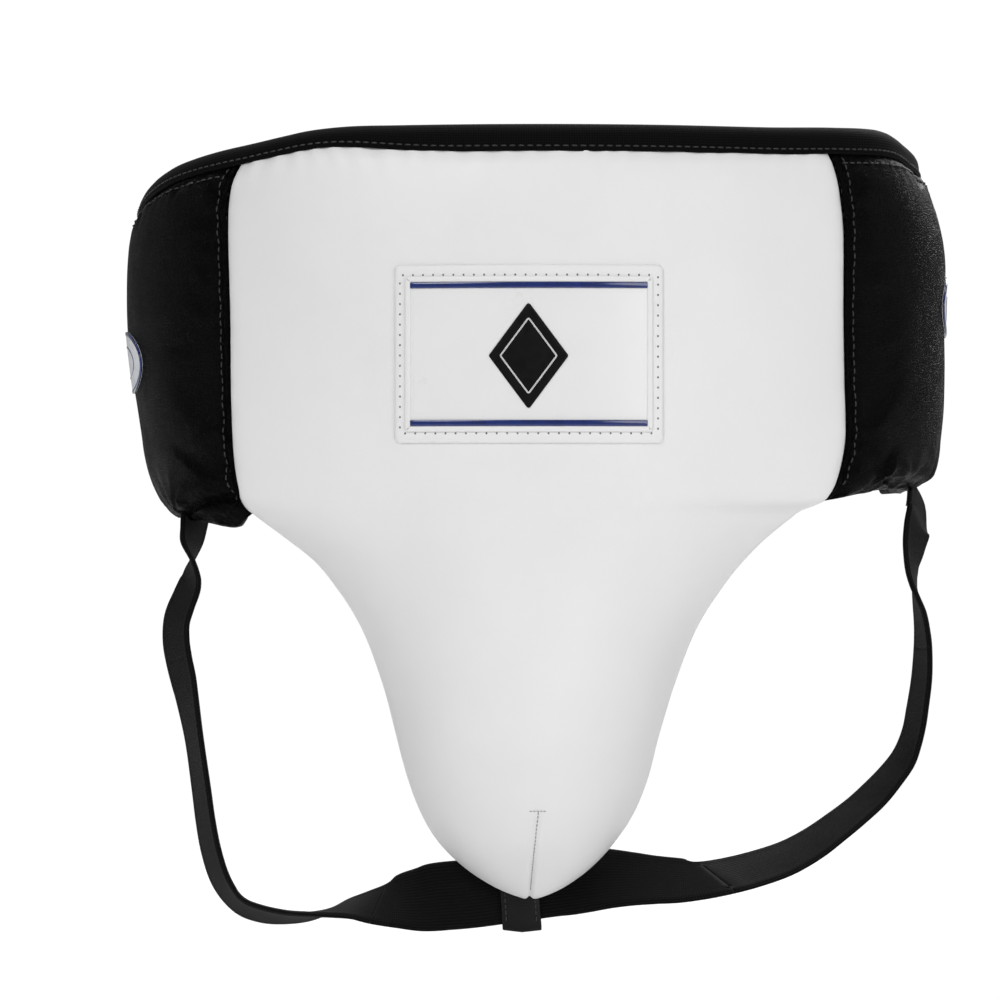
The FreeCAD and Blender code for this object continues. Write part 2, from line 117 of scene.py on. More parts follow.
def hip_arc(y):
    """Arc length at which the hip's outer curve reaches a given y, behind the seam."""
    angle = math.acos((HIP_CY - y) / HIP_R)
    return ARC_SEAM + (angle - SEAM_ANGLE) * HIP_R


# The leg strap's stations down each side and across the middle: distance out from the middle,
# height, and how far its width is turned out of square with the view, in degrees. Each side
# lies in an upright plane through its two held ends, given as distance out and y.
STRAP_ENDS = {"right": ((66, -87.2), (150, -59.3)), "left": ((80, -87.2), (168.9, -23.9))}
STRAP_SIDE = {
    "right": [(149.5, -163, 0), (150, -171, 0), (150.2, -179, -5), (150, -187, -23),
              (150, -192.3, -33), (150.7, -197.6, -39), (153.6, -204.7, -41),
              (156.8, -213.5, -43.5), (157.2, -222.5, -44.5), (155.9, -231, -44),
              (153.8, -240, -43), (152, -248.7, -40), (148.9, -266.3, -36),
              (145.7, -288.3, -36.5), (143.9, -301.5, -37), (141.4, -314.6, -37.5),
              (137.3, -326.9, -36.5), (131, -335.9, -31.5), (123.8, -340.4, -24),
              (114.8, -342.3, -18), (103, -342.6, -10), (91.6, -340.7, 0.5),
              (83.5, -338.7, 10), (74.7, -337.2, 19), (66, -336.3, 32.5)],
    "left": [(168.2, -155, 40), (170.4, -164.4, 53.5), (170.6, -172.5, 59.5), (169.1, -181.5, 55),
             (168.3, -189.1, 48), (168.8, -195.3, 42.5), (169.9, -200.7, 37),
             (171.7, -208.7, 30.5), (172.9, -217.6, 27.5), (173.3, -226.6, 25),
             (172.7, -240, 22.5), (170.8, -253.2, 21), (169.2, -262.1, 20),
             (166.2, -270.9, 16.5), (161.7, -278.8, 9.5), (155, -286.6, 5),
             (147.3, -294.3, 1), (138.3, -301.3, -2), (128.4, -308.2, -5),
             (117.6, -314.5, -10.5), (105.1, -319.5, -17), (91.9, -322.9, -20.5),
             (80, -324.8, -24)],
}
STRAP_MIDDLE = [(66.5, -326, -35.4), (54.4, -325.8, -40.7), (44, -325.4, -47.7),
                (33.8, -325.3, -57), (25, -325.7, -68), (17, -326.3, -79), (8, -327.2, -90),
                (-22, -331.5, -90), (-39.6, -333.2, -81), (-48, -334.5, -65),
                (-57, -335.4, -49)]
STRAP_WIDE, STRAP_THICK, STRAP_Y = 30.0, 2.0, -87.2
STRAP_TUCK = {"right": (14.0, -183.0), "left": (10.0, -172.0)}
UPPER_END = 9                                         # station where each loop's halves meet


def blend01(value):
    value = min(max(value, 0.0), 1.0)
    return value * value * (3 - 2 * value)


def curve(points, value):
    """A smooth line through (position, height) points, level beyond the ends."""
    if value <= points[0][0]:
        return points[0][1]
    for index in range(len(points) - 1):
        (x0, y0), (x1, y1) = points[index], points[index + 1]
        if value <= x1:
            before = points[max(index - 1, 0)]
            after = points[min(index + 2, len(points) - 1)]
            span = x1 - x0
            m0 = (y1 - before[1]) / (x1 - before[0]) * span
            m1 = (after[1] - y0) / (after[0] - x0) * span
            t = (value - x0) / span
            return ((2 * t ** 3 - 3 * t ** 2 + 1) * y0 + (t ** 3 - 2 * t ** 2 + t) * m0
                    + (3 * t ** 2 - 2 * t ** 3) * y1 + (t ** 3 - t ** 2) * m1)
    return points[-1][1]


FLEX_ARC = hip_arc(HIP_HIGH[1])                       # rear end of the hip pads
WING_START = hip_arc(box_mm("left_wing_cover")[0][1])
WING_TIP = math.asin((box_mm("left_wing_cover")[0][0] - HIP_CX) / HIP_R)
WING_END = ARC_SEAM + HIP_R * (math.pi - WING_TIP - SEAM_ANGLE)

# Heights of the belt's top and bottom edges along its arc, front middle outwards.
TOP_LINE = {
    "right": [(0, 0), (60, 0), (84, 0), (103, -1.2), (118, -3.4), (135, -6), (158, -9),
              (185, -13), (204, -17), (240, -25.5), (FLEX_ARC, -36.5)],
    "left": [(0, 0), (60, 0), (112, 0), (150, 1), (190, 1.2), (225, -3.5), (FLEX_ARC, -12)],
}
BOTTOM_LINE = {
    "right": [(133, -164), (138, -169), (142, -172.3), (152, -172.3), (170, -170.6),
              (FLEX_ARC, -166)],
    "left": [(126, -162.5), (136, -161.5), (165, -158), (196, -156), (FLEX_ARC, -158)],
}
# Distance of the white panel's side seams from the middle, by height.
SEAM_LINE = {
    "right": [(-172, 124), (-165, 126), (-160, 128), (-145, 131), (-120, 132.5), (-80, 133),
              (-45, 134), (-25, 134), (-12, 131), (0, 128)],
    "left": [(-172, 127), (-160, 131.5), (-152, 135), (-143, 137.5), (-132, 139), (-110, 138.5),
             (-80, 138), (-45, 138), (-30, 137), (-21, 136.2), (-10, 134.5), (0, 133)],
}
DART_TOP, DART_LOW = -293.8, -329
LEAN = {"right": 0.0, "left": 6.5}                    # how far the top of each side leans in


def top_height(side, arc):
    return curve(TOP_LINE[side], abs(arc))


def tape_height(arc):
    """How far the tape reaches down; it is sewn narrower over the wearer's right side."""
    return TAPE_HEIGHT - 3 * blend01((-arc - 30) / 70)


def side_of(value):
    return "right" if value < 0 else "left"


def seam_arc(side, z):
    return FRONT_R * math.asin(curve(SEAM_LINE[side], z) / FRONT_R)


def belt_point(arc, inward, z):
    """A point of the belt, whose top leans in towards the body at the sides."""
    side = side_of(arc)
    reach = abs(arc)
    top = curve(TOP_LINE[side], reach)
    lean = LEAN[side] * blend01((reach - 150) / 70) * blend01((z - top + 52) / 52)
    if reach > FLEX_ARC:
        lean *= 1 - blend01((reach - FLEX_ARC) / 90)
    return (*plan(arc, inward + lean), z)


# ---------------------------------------------------------------- mesh helpers
def make_mesh(name, vertices, faces, material, uvs=None, inner=None, inner_faces=()):
    """A smooth mesh piece; uvs are millimetres per vertex, inner a second material for some faces."""
    mesh = bpy.data.meshes.new(name)
    mesh.from_pydata([tuple(c * MM for c in v) for v in vertices], [], faces)
    mesh.materials.append(material)
    if inner:
        mesh.materials.append(inner)
        for index in inner_faces:
            mesh.polygons[index].material_index = 1
    if uvs:
        layer = mesh.uv_layers.new(name="UVMap")
        for loop in mesh.loops:
            layer.data[loop.index].uv = [c * MM for c in uvs[loop.vertex_index]]
    piece = bpy.data.objects.new(name, mesh)
    bpy.context.collection.objects.link(piece)
    tidy = bmesh.new()
    tidy.from_mesh(mesh)
    bmesh.ops.recalc_face_normals(tidy, faces=tidy.faces)
    tidy.to_mesh(mesh)
    tidy.free()
    mesh.polygons.foreach_set("use_smooth", [True] * len(mesh.polygons))
    return piece


def quads(rows, columns, close_rows=False, close_columns=False, start=0):
    faces = []
    for i in range(rows if close_rows else rows - 1):
        for j in range(columns if close_columns else columns - 1):
            i2, j2 = (i + 1) % rows, (j + 1) % columns
            faces.append((start + i * columns + j, start + i * columns + j2,
                          start + i2 * columns + j2, start + i2 * columns + j))
    return faces


def spaced(count, low, high, pull=0.0):
    """Evenly spaced values, drawn towards both ends by pull (0 to 1)."""
    values = []
    for step in range(count):
        t = step / (count - 1)
        eased = 0.5 - 0.5 * math.cos(math.pi * t)
        values.append(low + (high - low) * (t * (1 - pull) + eased * pull))
    return values


def tube_mesh(name, rings, material, uvs=None, closed=False):
    """A skin over a run of equal rings, its ends capped, or joined when closed."""
    count = len(rings[0])
    vertices = [v for ring in rings for v in ring]
    faces = quads(len(rings), count, close_rows=closed, close_columns=True)
    if not closed:
        for ring, start in ((rings[0], 0), (rings[-1], (len(rings) - 1) * count)):
            vertices.append([sum(v[axis] for v in ring) / count for axis in range(3)])
            hub = len(vertices) - 1
            faces += [(start + j, start + (j + 1) % count, hub) for j in range(count)]
            if uvs:
                uvs.append(uvs[start])
    return make_mesh(name, vertices, faces, material, uvs)


def join(name, pieces):
    """Joins pieces of one material into one object."""
    bpy.ops.object.select_all(action="DESELECT")
    for piece in pieces:
        piece.select_set(True)
    bpy.context.view_layer.objects.active = pieces[0]
    bpy.ops.object.join()
    pieces[0].name = name
    return pieces[0]


def stitches(name, path, normals, material, pitch=4.4, length=3.2, thick=0.42, lift=0.15):
    """A row of thread stitches along a path: short bars that dip into the surface at their ends."""
    vertices, faces = [], []
    walk, carried = 0.0, pitch / 2
    for (a, b), (na, nb) in zip(zip(path, path[1:]), zip(normals, normals[1:])):
        a, b = Vector(a), Vector(b)
        gap = (b - a).length
        while carried <= walk + gap and gap > 1e-6:
            t = (carried - walk) / gap
            spot, along = a.lerp(b, t), (b - a).normalized()
            up = Vector(na).lerp(Vector(nb), t).normalized()
            side = along.cross(up).normalized()
            start = len(vertices)
            for s, (sink, fat) in zip((-1, -0.62, 0, 0.62, 1),
                                      ((-0.9, 0.5), (0.0, 0.95), (0.22, 1.1), (0.0, 0.95),
                                       (-0.9, 0.5))):
                for k in range(6):
                    turn = math.tau * k / 6
                    v = (spot + along * (s * length / 2) + up * (lift + thick * sink)
                         + (side * math.cos(turn) + up * math.sin(turn)) * (thick * fat))
                    vertices.append(tuple(v))
            faces += quads(5, 6, close_columns=True, start=start)
            faces.append(tuple(start + k for k in range(6)))
            faces.append(tuple(start + 24 + k for k in reversed(range(6))))
            carried += pitch
        walk += gap
    return make_mesh(name, vertices, faces, material)


def attach(piece, body, slot, *nodes):
    """Lets a piece stand for some nodes and ride on one body; slot, the name of a finish, is not used."""
    if nodes:
        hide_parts(*nodes)
    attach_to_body(piece, body)
    return piece


# ---------------------------------------------------------------- materials
def grey(value):
    return (value, value, value)


class Finish:
    """A material being made; its textures are laid out in the piece's own metres."""

    def __init__(self, name):
        self.material = bpy.data.materials.new(name)
        self.material.use_nodes = True
        self.nodes = self.material.node_tree.nodes
        self.links = self.material.node_tree.links
        self.shader = next(n for n in self.nodes if n.type == "BSDF_PRINCIPLED")

    def texture(self, kind, scale, **settings):
        node = self.nodes.new("ShaderNodeTex" + kind)
        node.inputs["Scale"].default_value = scale
        for key, value in settings.items():
            if key in node.inputs:
                node.inputs[key].default_value = value
            else:
                setattr(node, key, value)
        place = self.nodes.new("ShaderNodeTexCoord")
        self.links.new(place.outputs["Object"], node.inputs["Vector"])
        return node.outputs["Distance" if kind == "Voronoi" else "Fac"]

    def ramp(self, source, *stops):
        node = self.nodes.new("ShaderNodeValToRGB")
        for element, (place, colour) in zip(node.color_ramp.elements, stops):
            element.position, element.color = place, (*colour, 1)
        self.links.new(source, node.inputs["Fac"])
        return node.outputs["Color"]

    def drive(self, entry, source, *stops):
        """Feeds one of the shader's inputs from a texture, through a colour ramp."""
        self.links.new(self.ramp(source, *stops), self.shader.inputs[entry])

    def bump(self, *layers):
        """Stacks bump layers given as (height socket, strength, distance in metres)."""
        last = None
        for height, strength, distance in layers:
            node = self.nodes.new("ShaderNodeBump")
            node.inputs["Strength"].default_value = strength
            node.inputs["Distance"].default_value = distance
            self.links.new(height, node.inputs["Height"])
            if last:
                self.links.new(last, node.inputs["Normal"])
            last = node.outputs["Normal"]
        self.links.new(last, self.shader.inputs["Normal"])

    def done(self, **values):
        """Sets the shader's plain inputs and gives the finished material."""
        for entry, value in values.items():
            self.shader.inputs[entry.replace("_", " ")].default_value = value
        return self.material


def leather(name, dark, light, rough, grain=0.5, coat=0.0, scale=900.0, gloss=0.5):
    """Grained leather: pebbles from cells, slow colour drift and uneven gloss."""
    made = Finish(name)
    made.drive("Base Color", made.texture("Noise", 14.0, Detail=4.0), (0.3, dark), (0.7, light))
    cells = made.texture("Voronoi", scale, feature="DISTANCE_TO_EDGE")
    pebble = made.ramp(cells, (0.0, grey(0.0)), (0.22, grey(1.0)))
    fine = made.texture("Noise", scale * 1.7, Detail=5.0)
    soft = made.texture("Noise", 55.0, Detail=3.0)
    made.drive("Roughness", soft, (0.3, grey(rough - 0.06)), (0.7, grey(rough + 0.07)))
    made.bump((pebble, grain, 0.0003), (fine, grain * 0.5, 0.0001), (soft, 0.12, 0.0012))
    return made.done(Specular_IOR_Level=gloss, Coat_Weight=coat, Coat_Roughness=0.25)


def woven(name, dark, light, warp, weft, rough=0.8, strength=0.7):
    """Woven cloth from two crossed sets of ridges; warp and weft are ridges per metre."""
    made = Finish(name)
    source, heights = made.nodes.new("ShaderNodeUVMap").outputs["UV"], []
    for direction, count in (("X", warp), ("Y", weft)):
        wave = made.nodes.new("ShaderNodeTexWave")
        wave.wave_type, wave.bands_direction, wave.wave_profile = "BANDS", direction, "SIN"
        for entry, value in (("Scale", count * math.tau / 20), ("Distortion", 0.25),
                             ("Detail", 0.0)):
            wave.inputs[entry].default_value = value
        made.links.new(source, wave.inputs["Vector"])
        heights.append(wave.outputs["Fac"])
    crossed = made.nodes.new("ShaderNodeMath")
    crossed.operation = "MULTIPLY"
    made.links.new(heights[0], crossed.inputs[0])
    made.links.new(heights[1], crossed.inputs[1])
    weave, fuzz = crossed.outputs["Value"], made.texture("Noise", 2600.0, Detail=3.0)
    made.drive("Base Color", weave, (0.05, dark), (0.75, light))
    made.drive("Roughness", fuzz, (0.3, grey(rough - 0.08)), (0.7, grey(min(rough + 0.1, 1.0))))
    made.bump((weave, strength, 0.0003), (fuzz, 0.3, 0.0001))
    return made.done(Sheen_Weight=0.04, Sheen_Roughness=0.4, Specular_IOR_Level=0.06)


def plain(name, dark, light, rough, scale=300.0, bump=0.1, coat=0.0, gloss=0.5):
    """A moulded or printed finish with slight unevenness in colour, gloss and surface."""
    made = Finish(name)
    uneven = made.texture("Noise", scale, Detail=4.0)
    made.drive("Base Color", uneven, (0.3, dark), (0.7, light))
    made.drive("Roughness", uneven, (0.2, grey(max(rough - 0.04, 0.02))),
               (0.8, grey(rough + 0.05)))
    made.bump((uneven, bump, 0.0002))
    return made.done(Coat_Weight=coat, Coat_Roughness=0.12, Specular_IOR_Level=gloss)


def pile(name, colour, scale, strength):
    """Hook or loop pile: dense short tufts."""
    made = Finish(name)
    tufts = made.texture("Voronoi", scale)
    made.drive("Base Color", tufts, (0.1, [c * 2.2 for c in colour]),
               (0.7, [c * 0.5 for c in colour]))
    made.bump((tufts, -strength, 0.0008))
    return made.done(Roughness=0.9, Sheen_Weight=0.35)


def faded_paper(name, near, far):
    """White paper that turns see-through between two distances from the middle."""
    made = Finish(name)
    length = made.nodes.new("ShaderNodeVectorMath")
    length.operation = "LENGTH"
    made.links.new(made.nodes.new("ShaderNodeTexCoord").outputs["Object"], length.inputs[0])
    fade = made.nodes.new("ShaderNodeMapRange")
    fade.interpolation_type = "SMOOTHSTEP"
    for entry, value in (("From Min", near), ("From Max", far), ("To Min", 1.0), ("To Max", 0.0)):
        fade.inputs[entry].default_value = value
    made.links.new(length.outputs["Value"], fade.inputs["Value"])
    made.links.new(fade.outputs["Result"], made.shader.inputs["Alpha"])
    return made.done(Base_Color=(0.88, 0.88, 0.88, 1), Roughness=0.9)


MAT = {
    "white": leather("white_leather", grey(0.735), grey(0.765), 0.46, grain=0.08, scale=1300.0,
                     gloss=0.4),
    "black": leather("black_leather", grey(0.0008), grey(0.0014), 0.38, grain=1.0, scale=950.0,
                     gloss=0.05),
    "polished": leather("polished_leather", grey(0.0012), grey(0.002), 0.2, grain=0.15, coat=0.2,
                        gloss=0.1),
    "tape": woven("binding_tape_weave", grey(0.001), grey(0.005), 900, 900, strength=0.45),
    "elastic": woven("elastic_weave", grey(0.0015), grey(0.009), 720, 1300, strength=0.36),
    "lining": woven("lining_weave", grey(0.012), grey(0.03), 1600, 1600, rough=0.6,
                    strength=0.4),
    "label": plain("label_film", grey(0.745), grey(0.755), 0.3, scale=60.0, bump=0.02,
                   coat=0.1),
    "navy": plain("navy_film", (0.004, 0.014, 0.10), (0.006, 0.022, 0.15), 0.12, coat=0.6),
    "ink": plain("black_ink", grey(0.002), grey(0.004), 0.4, bump=0.05, gloss=0.12),
    "badge": plain("badge_white", (0.74, 0.76, 0.80), (0.80, 0.82, 0.85), 0.3, coat=0.2),
    "black_thread": plain("black_thread", grey(0.011), grey(0.024), 0.42, scale=2500.0, bump=0.4),
    "grey_thread": plain("grey_thread", grey(0.16), grey(0.30), 0.6, scale=2500.0, bump=0.4),
    # painted shade: the dark inside of the label's needle holes
    "hole_shade": plain("hole_shade", grey(0.09), grey(0.2), 0.8),
    "board": plain("board_grain", grey(0.10), grey(0.15), 0.85, scale=900.0, bump=0.4),
    "cup": plain("cup_plastic", grey(0.66), grey(0.72), 0.42, scale=180.0, bump=0.08),
    "gasket": plain("gasket_rubber", grey(0.02), grey(0.035), 0.7, scale=700.0, bump=0.3),
    "loop": pile("loop_pile", grey(0.014), 900.0, 0.8),
    "hook": pile("hook_pile", grey(0.018), 620.0, 1.0),
    "floor": faded_paper("floor_paper", 0.8, 2.3),
}

# ---------------------------------------------------------------- padded pieces
def ease_round(value):
    """A quarter-ellipse rise: 0 at the edge, 1 from a distance of 1 on."""
    value = min(max(value, 0.0), 1.0)
    return math.sqrt(1 - (1 - value) ** 2)


def drift(x, y, z, size):
    """Smooth unevenness between about -1 and 1, with features of a given size in millimetres."""
    return noise.noise(Vector((x, y, z)) / size)


def pucker(along, away, pitch, reach):
    """Gathers beside a sewn edge: ripples along it that fade over a distance from it."""
    if away > reach:
        return 0.0
    phase = along / pitch + 0.9 * noise.noise(Vector((along / 31, away / 19, 3.7)))
    return math.cos(math.tau * phase) * (1 - away / reach) ** 2


PUFF_FRAMES, PUFF_GROWTH, PRESSURE = 20, 0.03, 4
HIP_SWELL, WING_SWELL = 1.1, 2.2                      # how far a point of a pad may move


def puff(piece, held, limit):
    """Inflates a pad as cloth held at its sewn edges, each point moving no further than limit."""
    rest = [v.co.copy() for v in piece.data.vertices]
    group = piece.vertex_groups.new(name="held")
    group.add(held, 1.0, "REPLACE")
    cloth = piece.modifiers.new("cloth", "CLOTH")
    cloth.settings.quality = 6
    cloth.settings.mass = 0.25
    cloth.settings.tension_stiffness = cloth.settings.compression_stiffness = 25
    cloth.settings.bending_stiffness = 2.5
    cloth.settings.use_pressure = True
    cloth.settings.uniform_pressure_force = PRESSURE
    cloth.settings.shrink_min = -PUFF_GROWTH
    cloth.settings.effector_weights.gravity = 0
    cloth.settings.vertex_group_mass = "held"
    cloth.point_cache.frame_start, cloth.point_cache.frame_end = 1, PUFF_FRAMES
    for frame_number in range(1, PUFF_FRAMES + 1):
        bpy.context.scene.frame_set(frame_number)
    result = piece.evaluated_get(bpy.context.evaluated_depsgraph_get())
    moved = [v.co.copy() for v in result.data.vertices]
    piece.modifiers.clear()
    piece.vertex_groups.clear()
    for vertex, start, end in zip(piece.data.vertices, rest, moved):
        step = end - start
        if step.length > limit * MM:
            step *= limit * MM / step.length
        vertex.co = start + step
    piece.data.update()
    bpy.context.scene.frame_set(1)


def two_sheets(outer, inner, uvs, wide, edge, steps, between, closed):
    """Points and faces of an outer and an inner sheet, and of the wall between their edges.

    edge lists the outer sheet's edge points, and between(index, t) places the wall's point a
    fraction t of the way across from one of them.
    """
    count, tall = len(outer), len(outer) // wide
    faces = quads(tall, wide)
    lining = range(len(faces), 2 * len(faces))
    faces += quads(tall, wide, start=count)
    vertices, uvs, loops = outer + inner, uvs + uvs, [edge]
    for step in range(1, steps):
        loops.append(range(len(vertices), len(vertices) + len(edge)))
        vertices += [between(index, step / steps) for index in edge]
        uvs += [uvs[index] for index in edge]
    loops.append([index + count for index in edge])
    for a, b in zip(loops, loops[1:]):
        for k in range(len(edge) if closed else len(edge) - 1):
            k2 = (k + 1) % len(edge)
            faces.append((a[k], a[k2], b[k2], b[k]))
    return vertices, faces, uvs, lining, loops


def pillow(name, place, columns, rows, material, lining, sewn):
    """A closed pad between an outer and an inner sheet, and the numbers of its edge's points.

    place(c, r) gives arc, height, the outer sheet's and the inner sheet's depth for fractions
    c along the belt and r up. sewn(arc, z) tells where the pad is held flat.
    """
    outer, inner, uvs = [], [], []
    for r in rows:
        for c in columns:
            arc, z, depth_out, depth_in = place(c, r)
            outer.append(belt_point(arc, depth_out, z))
            inner.append(belt_point(arc, depth_in, z))
            uvs.append((abs(arc), z))
    count, wide = len(outer), len(columns)
    edge = (list(range(wide)) + [i * wide + wide - 1 for i in range(1, len(rows))]
            + [count - 1 - j for j in range(1, wide)]
            + [i * wide for i in range(len(rows) - 2, 0, -1)])

    def between(index, t):
        return tuple(Vector(outer[index]).lerp(Vector(inner[index]), t))

    vertices, faces, uvs, lined, loops = two_sheets(outer, inner, uvs, wide, edge, 4, between,
                                                    True)
    piece = make_mesh(name, vertices, faces, material, uvs, lining, lined)
    held = {index for loop in loops for index in loop}
    held.update(index for index, (arc, z) in enumerate(uvs[:2 * count]) if sewn(arc, z))
    return piece, sorted(held)


# How far a hip pad's outer surface is tucked in, by height above its lower edge.
TUCK = {"right": [(0, 22), (10, 15.5), (19, 11.5), (28, 9), (37, 7.5), (46, 6), (64, 3.4), (84, 1.5),
                  (120, 0.8)],
        "left": [(0, 14), (3, 10), (7, 6.4), (16, 3.4), (26, 2.1), (40, 1.2), (90, 0.8)]}
# The sewn fold at a hip pad's lower front corner, from the seam back: arc and height pairs.
FOLD = {"right": ((138, -158.5), (187, -169.5)), "left": ((176, -152), (196, -155.5))}


def gather(arc, z, centre, reach):
    """Creases that run out from the place where the strap is sewn in."""
    across, up = arc - centre[0], z - centre[1]
    far = math.hypot(across, up)
    if far > reach:
        return 0.0
    turn = math.atan2(up, across)
    return math.cos(7 * turn + 1.3 * math.sin(far / 9)) * (1 - far / reach) * ease_round(far / 7)


def fold_depth(side, arc, z):
    """The groove above a hip pad's folded corner: positive is inwards."""
    (arc_a, z_a), (arc_b, z_b) = FOLD[side]
    t = (arc - arc_a) / (arc_b - arc_a)
    if not -0.1 < t < 1.15:
        return 0.0
    off = z - (z_a + (z_b - z_a) * t) - 1.6 * math.sin(math.pi * t)
    fade = blend01((t + 0.1) / 0.25) * blend01((1.15 - t) / 0.3)
    groove = 3.2 * math.exp(-(off / 1.6) ** 2)
    bulge = 2.0 * math.exp(-((off - 6.5) / 5) ** 2) + 1.2 * math.exp(-((off + 4.5) / 2.5) ** 2)
    return (groove - bulge) * fade


def make_hip(side):
    """A hip pad: sewn down at the seam, thin under the tape, tucked in at its lower edge."""
    sign = SIDES[side]
    strap = STRAP_SIDE[side][1]
    strap_arc = hip_arc(STRAP_ENDS[side][1][1])

    def place(c, r):
        guess = ARC_SEAM - 2 + (FLEX_ARC - ARC_SEAM + 2) * c
        for _ in range(3):
            bottom, top = curve(BOTTOM_LINE[side], guess), top_height(side, guess)
            z = bottom + (top - bottom) * r
            start = seam_arc(side, z)
            guess = start + (FLEX_ARC - start) * c
        arc = guess
        down, below = z - bottom, top - z
        near, far, flex = down, below, FLEX_ARC - arc
        beside = 0.3 + 0.7 * blend01((arc - 160) / 65)
        tucked = curve(TUCK[side], near) * beside
        pinch = (1 - blend01(near / 18)) * (1 - blend01((arc - start) / 38))
        inside = DEPTH - 2.5 * (1 - ease_round(near / 24)) - 13 * pinch
        middle = (tucked + inside) / 2
        crown = TAPE_HALF / HALF_DEPTH
        crown += (1 - crown) * ease_round((far - tape_height(sign * arc) + 0.5) / 30)
        swell = (inside - tucked) / 2 * crown * (0.5 + 0.5 * ease_round(flex / 13))
        swell *= (0.1 + 0.9 * ease_round(near / 8)) * (0.15 + 0.85 * ease_round(far / 6))
        seam = 4.2 * (1 - ease_round((arc - start) / 11)) ** 1.2
        ripple = 0.2 * pucker(arc, far - TAPE_HEIGHT, 10, 16)
        ripple += 0.5 * pucker(z, arc - start, 12, 16)
        ripple += 1.0 * pucker(arc, near, 17, 30) * ease_round(near / 8)
        ripple += 0.8 * drift(arc * sign, 5, z, 34)
        ripple += 1.1 * gather(arc, z, (strap_arc, strap[1] + 2), 34)
        ripple -= fold_depth(side, arc, z)
        fade = ease_round(min(near, far, arc - start, flex) / 6)
        return (sign * arc, z, middle - swell + seam - ripple * fade,
                middle + swell - 0.3 * ripple * fade)

    def sewn(arc, z):
        taped = z > top_height(side, arc) - tape_height(sign * arc) - 1.5
        return taped or fold_depth(side, arc, z) > 0.5

    piece, held = pillow(side + "_hip_pad", place, spaced(90, 0, 1, 0.35),
                         spaced(104, 0, 1, 0.6), MAT["black"], MAT["lining"], sewn)
    puff(piece, held, HIP_SWELL)
    attach(piece, "front", "black_leather",
           side + "_hip_cover", side + "_hip_foam", side + "_hip_lining")
    return piece


WING_SPAN = (190.0, 113.0)                            # x at which the wings' edge lines start, end
WING_LINES = {"right": ((-38, -44), (-160, -131)), "left": ((-16, -44), (-152, -131))}


def wing_edges(side, arc):
    """Heights of a wing's top and bottom edges at a place along the belt."""
    t = (WING_SPAN[0] - plan(arc)[0]) / (WING_SPAN[0] - WING_SPAN[1])
    return [start + (end - start) * t for start, end in WING_LINES[side]]


def make_wing(side):
    """A kidney wing: the same pad, thinner, tapering to the rear elastic."""
    sign = SIDES[side]

    def place(c, r):
        arc = WING_START + (WING_END - WING_START) * c
        top, bottom = wing_edges(side, arc)
        z = bottom + (top - bottom) * r
        down, below = z - bottom, top - z
        rise = (0.06 + 0.94 * ease_round(down / 18)) if r < 0.5 else 1.0
        crown = TAPE_HALF / HALF_WING
        crown += (1 - crown) * ease_round((below - tape_height(sign * arc) + 0.5) / 20)
        ends = 0.5 + 0.5 * ease_round(min(arc - WING_START, WING_END - arc) / 13)
        swell = HALF_WING * rise * crown * ends * (0.15 + 0.85 * ease_round(below / 6))
        ripple = 0.4 * pucker(arc, below - TAPE_HEIGHT, 10, 16) + 1.0 * pucker(arc, down, 14, 20)
        ripple = (ripple + 0.6 * drift(arc * sign, 9, z, 30)) * ease_round(
            min(down, below, arc - WING_START, WING_END - arc) / 6)
        return sign * arc, z, HALF_WING - swell - ripple, HALF_WING + swell - 0.3 * ripple

    def sewn(arc, z):
        return z > wing_edges(side, arc)[0] - tape_height(sign * arc) - 1.5

    piece, held = pillow(side + "_wing_pad", place, spaced(44, 0, 1, 0.4),
                         spaced(60, 0, 1, 0.45), MAT["black"], MAT["lining"], sewn)
    puff(piece, held, WING_SWELL)
    attach(piece, side + "_wing", "black_leather",
           side + "_wing_cover", side + "_wing_foam", side + "_wing_lining")
    return piece


# Sections of the white panel below the belly: drop, half width, front y, degrees turned under.
SECTIONS = [(150, 131.5, -136, 0), (160, 129, -137, 0), (168, 116.5, -138, 0),
            (180, 101, -140, 0), (195, 86.5, -142, 0), (215, 73, -144.5, 0), (240, 63, -146, 4),
            (262, 56.5, -144, 12), (282, 50.5, -138, 22), (298, 44, -131.5, 35),
            (311, 36, -124, 48), (321, 26, -114, 60), (328, 16, -104, 72),
            (331.5, 9, -98.5, 80), (333.6, 3, -96, 86)]
# How much wider the panel's free edge is on each side than SECTIONS says, by drop.
TRIM = {
    "right": [(158, 0), (162, -0.2), (164.5, 1.8), (170, 2.6), (178, 2.2), (187, 0.5), (200, 0.9),
              (225, 1.3), (248, 1.7), (275, 2.6), (300, 3.0), (312, 2.5), (326, 1.2), (333.6, 0)],
    "left": [(158, 0), (162, -0.6), (164.5, -3.4), (170, -2.8), (178, -2.1), (190, -1.1),
             (204, -0.4), (248, -0.4), (262, -0.6), (284, 0.2), (300, -0.2), (310, -1.1),
             (326, -0.5), (333.6, 0)],
}
RIM_Y = -94.0
ROLL = 6.0                                            # how far the cup's rim bulges backwards
BELLY_LOW = -150.0


def section(side, z):
    """The panel's arc at a height: radius, centre y, half angle and the angle turned under."""
    half = curve(SEAM_LINE[side], z)
    if z >= BELLY_LOW:
        return FRONT_R, FRONT_CY, math.asin(half / FRONT_R), 0.0
    cup_half, front, under = (curve([(row[0], row[k]) for row in SECTIONS], -z)
                              for k in (1, 2, 3))
    cup_half += curve(TRIM[side], -z)
    deep = max(RIM_Y - front, 0.5)
    t = blend01((BELLY_LOW - z) / 14)
    if t < 1:
        deep += (FRONT_R - math.sqrt(FRONT_R ** 2 - half ** 2) - deep) * (1 - t)
    t = blend01((BELLY_LOW - 5 - z) / 11)
    half += (cup_half - half) * t
    radius = (half ** 2 + deep ** 2) / 2 / deep
    angle = math.atan2(half, radius - deep)
    return radius, front + radius, angle, math.radians(under)


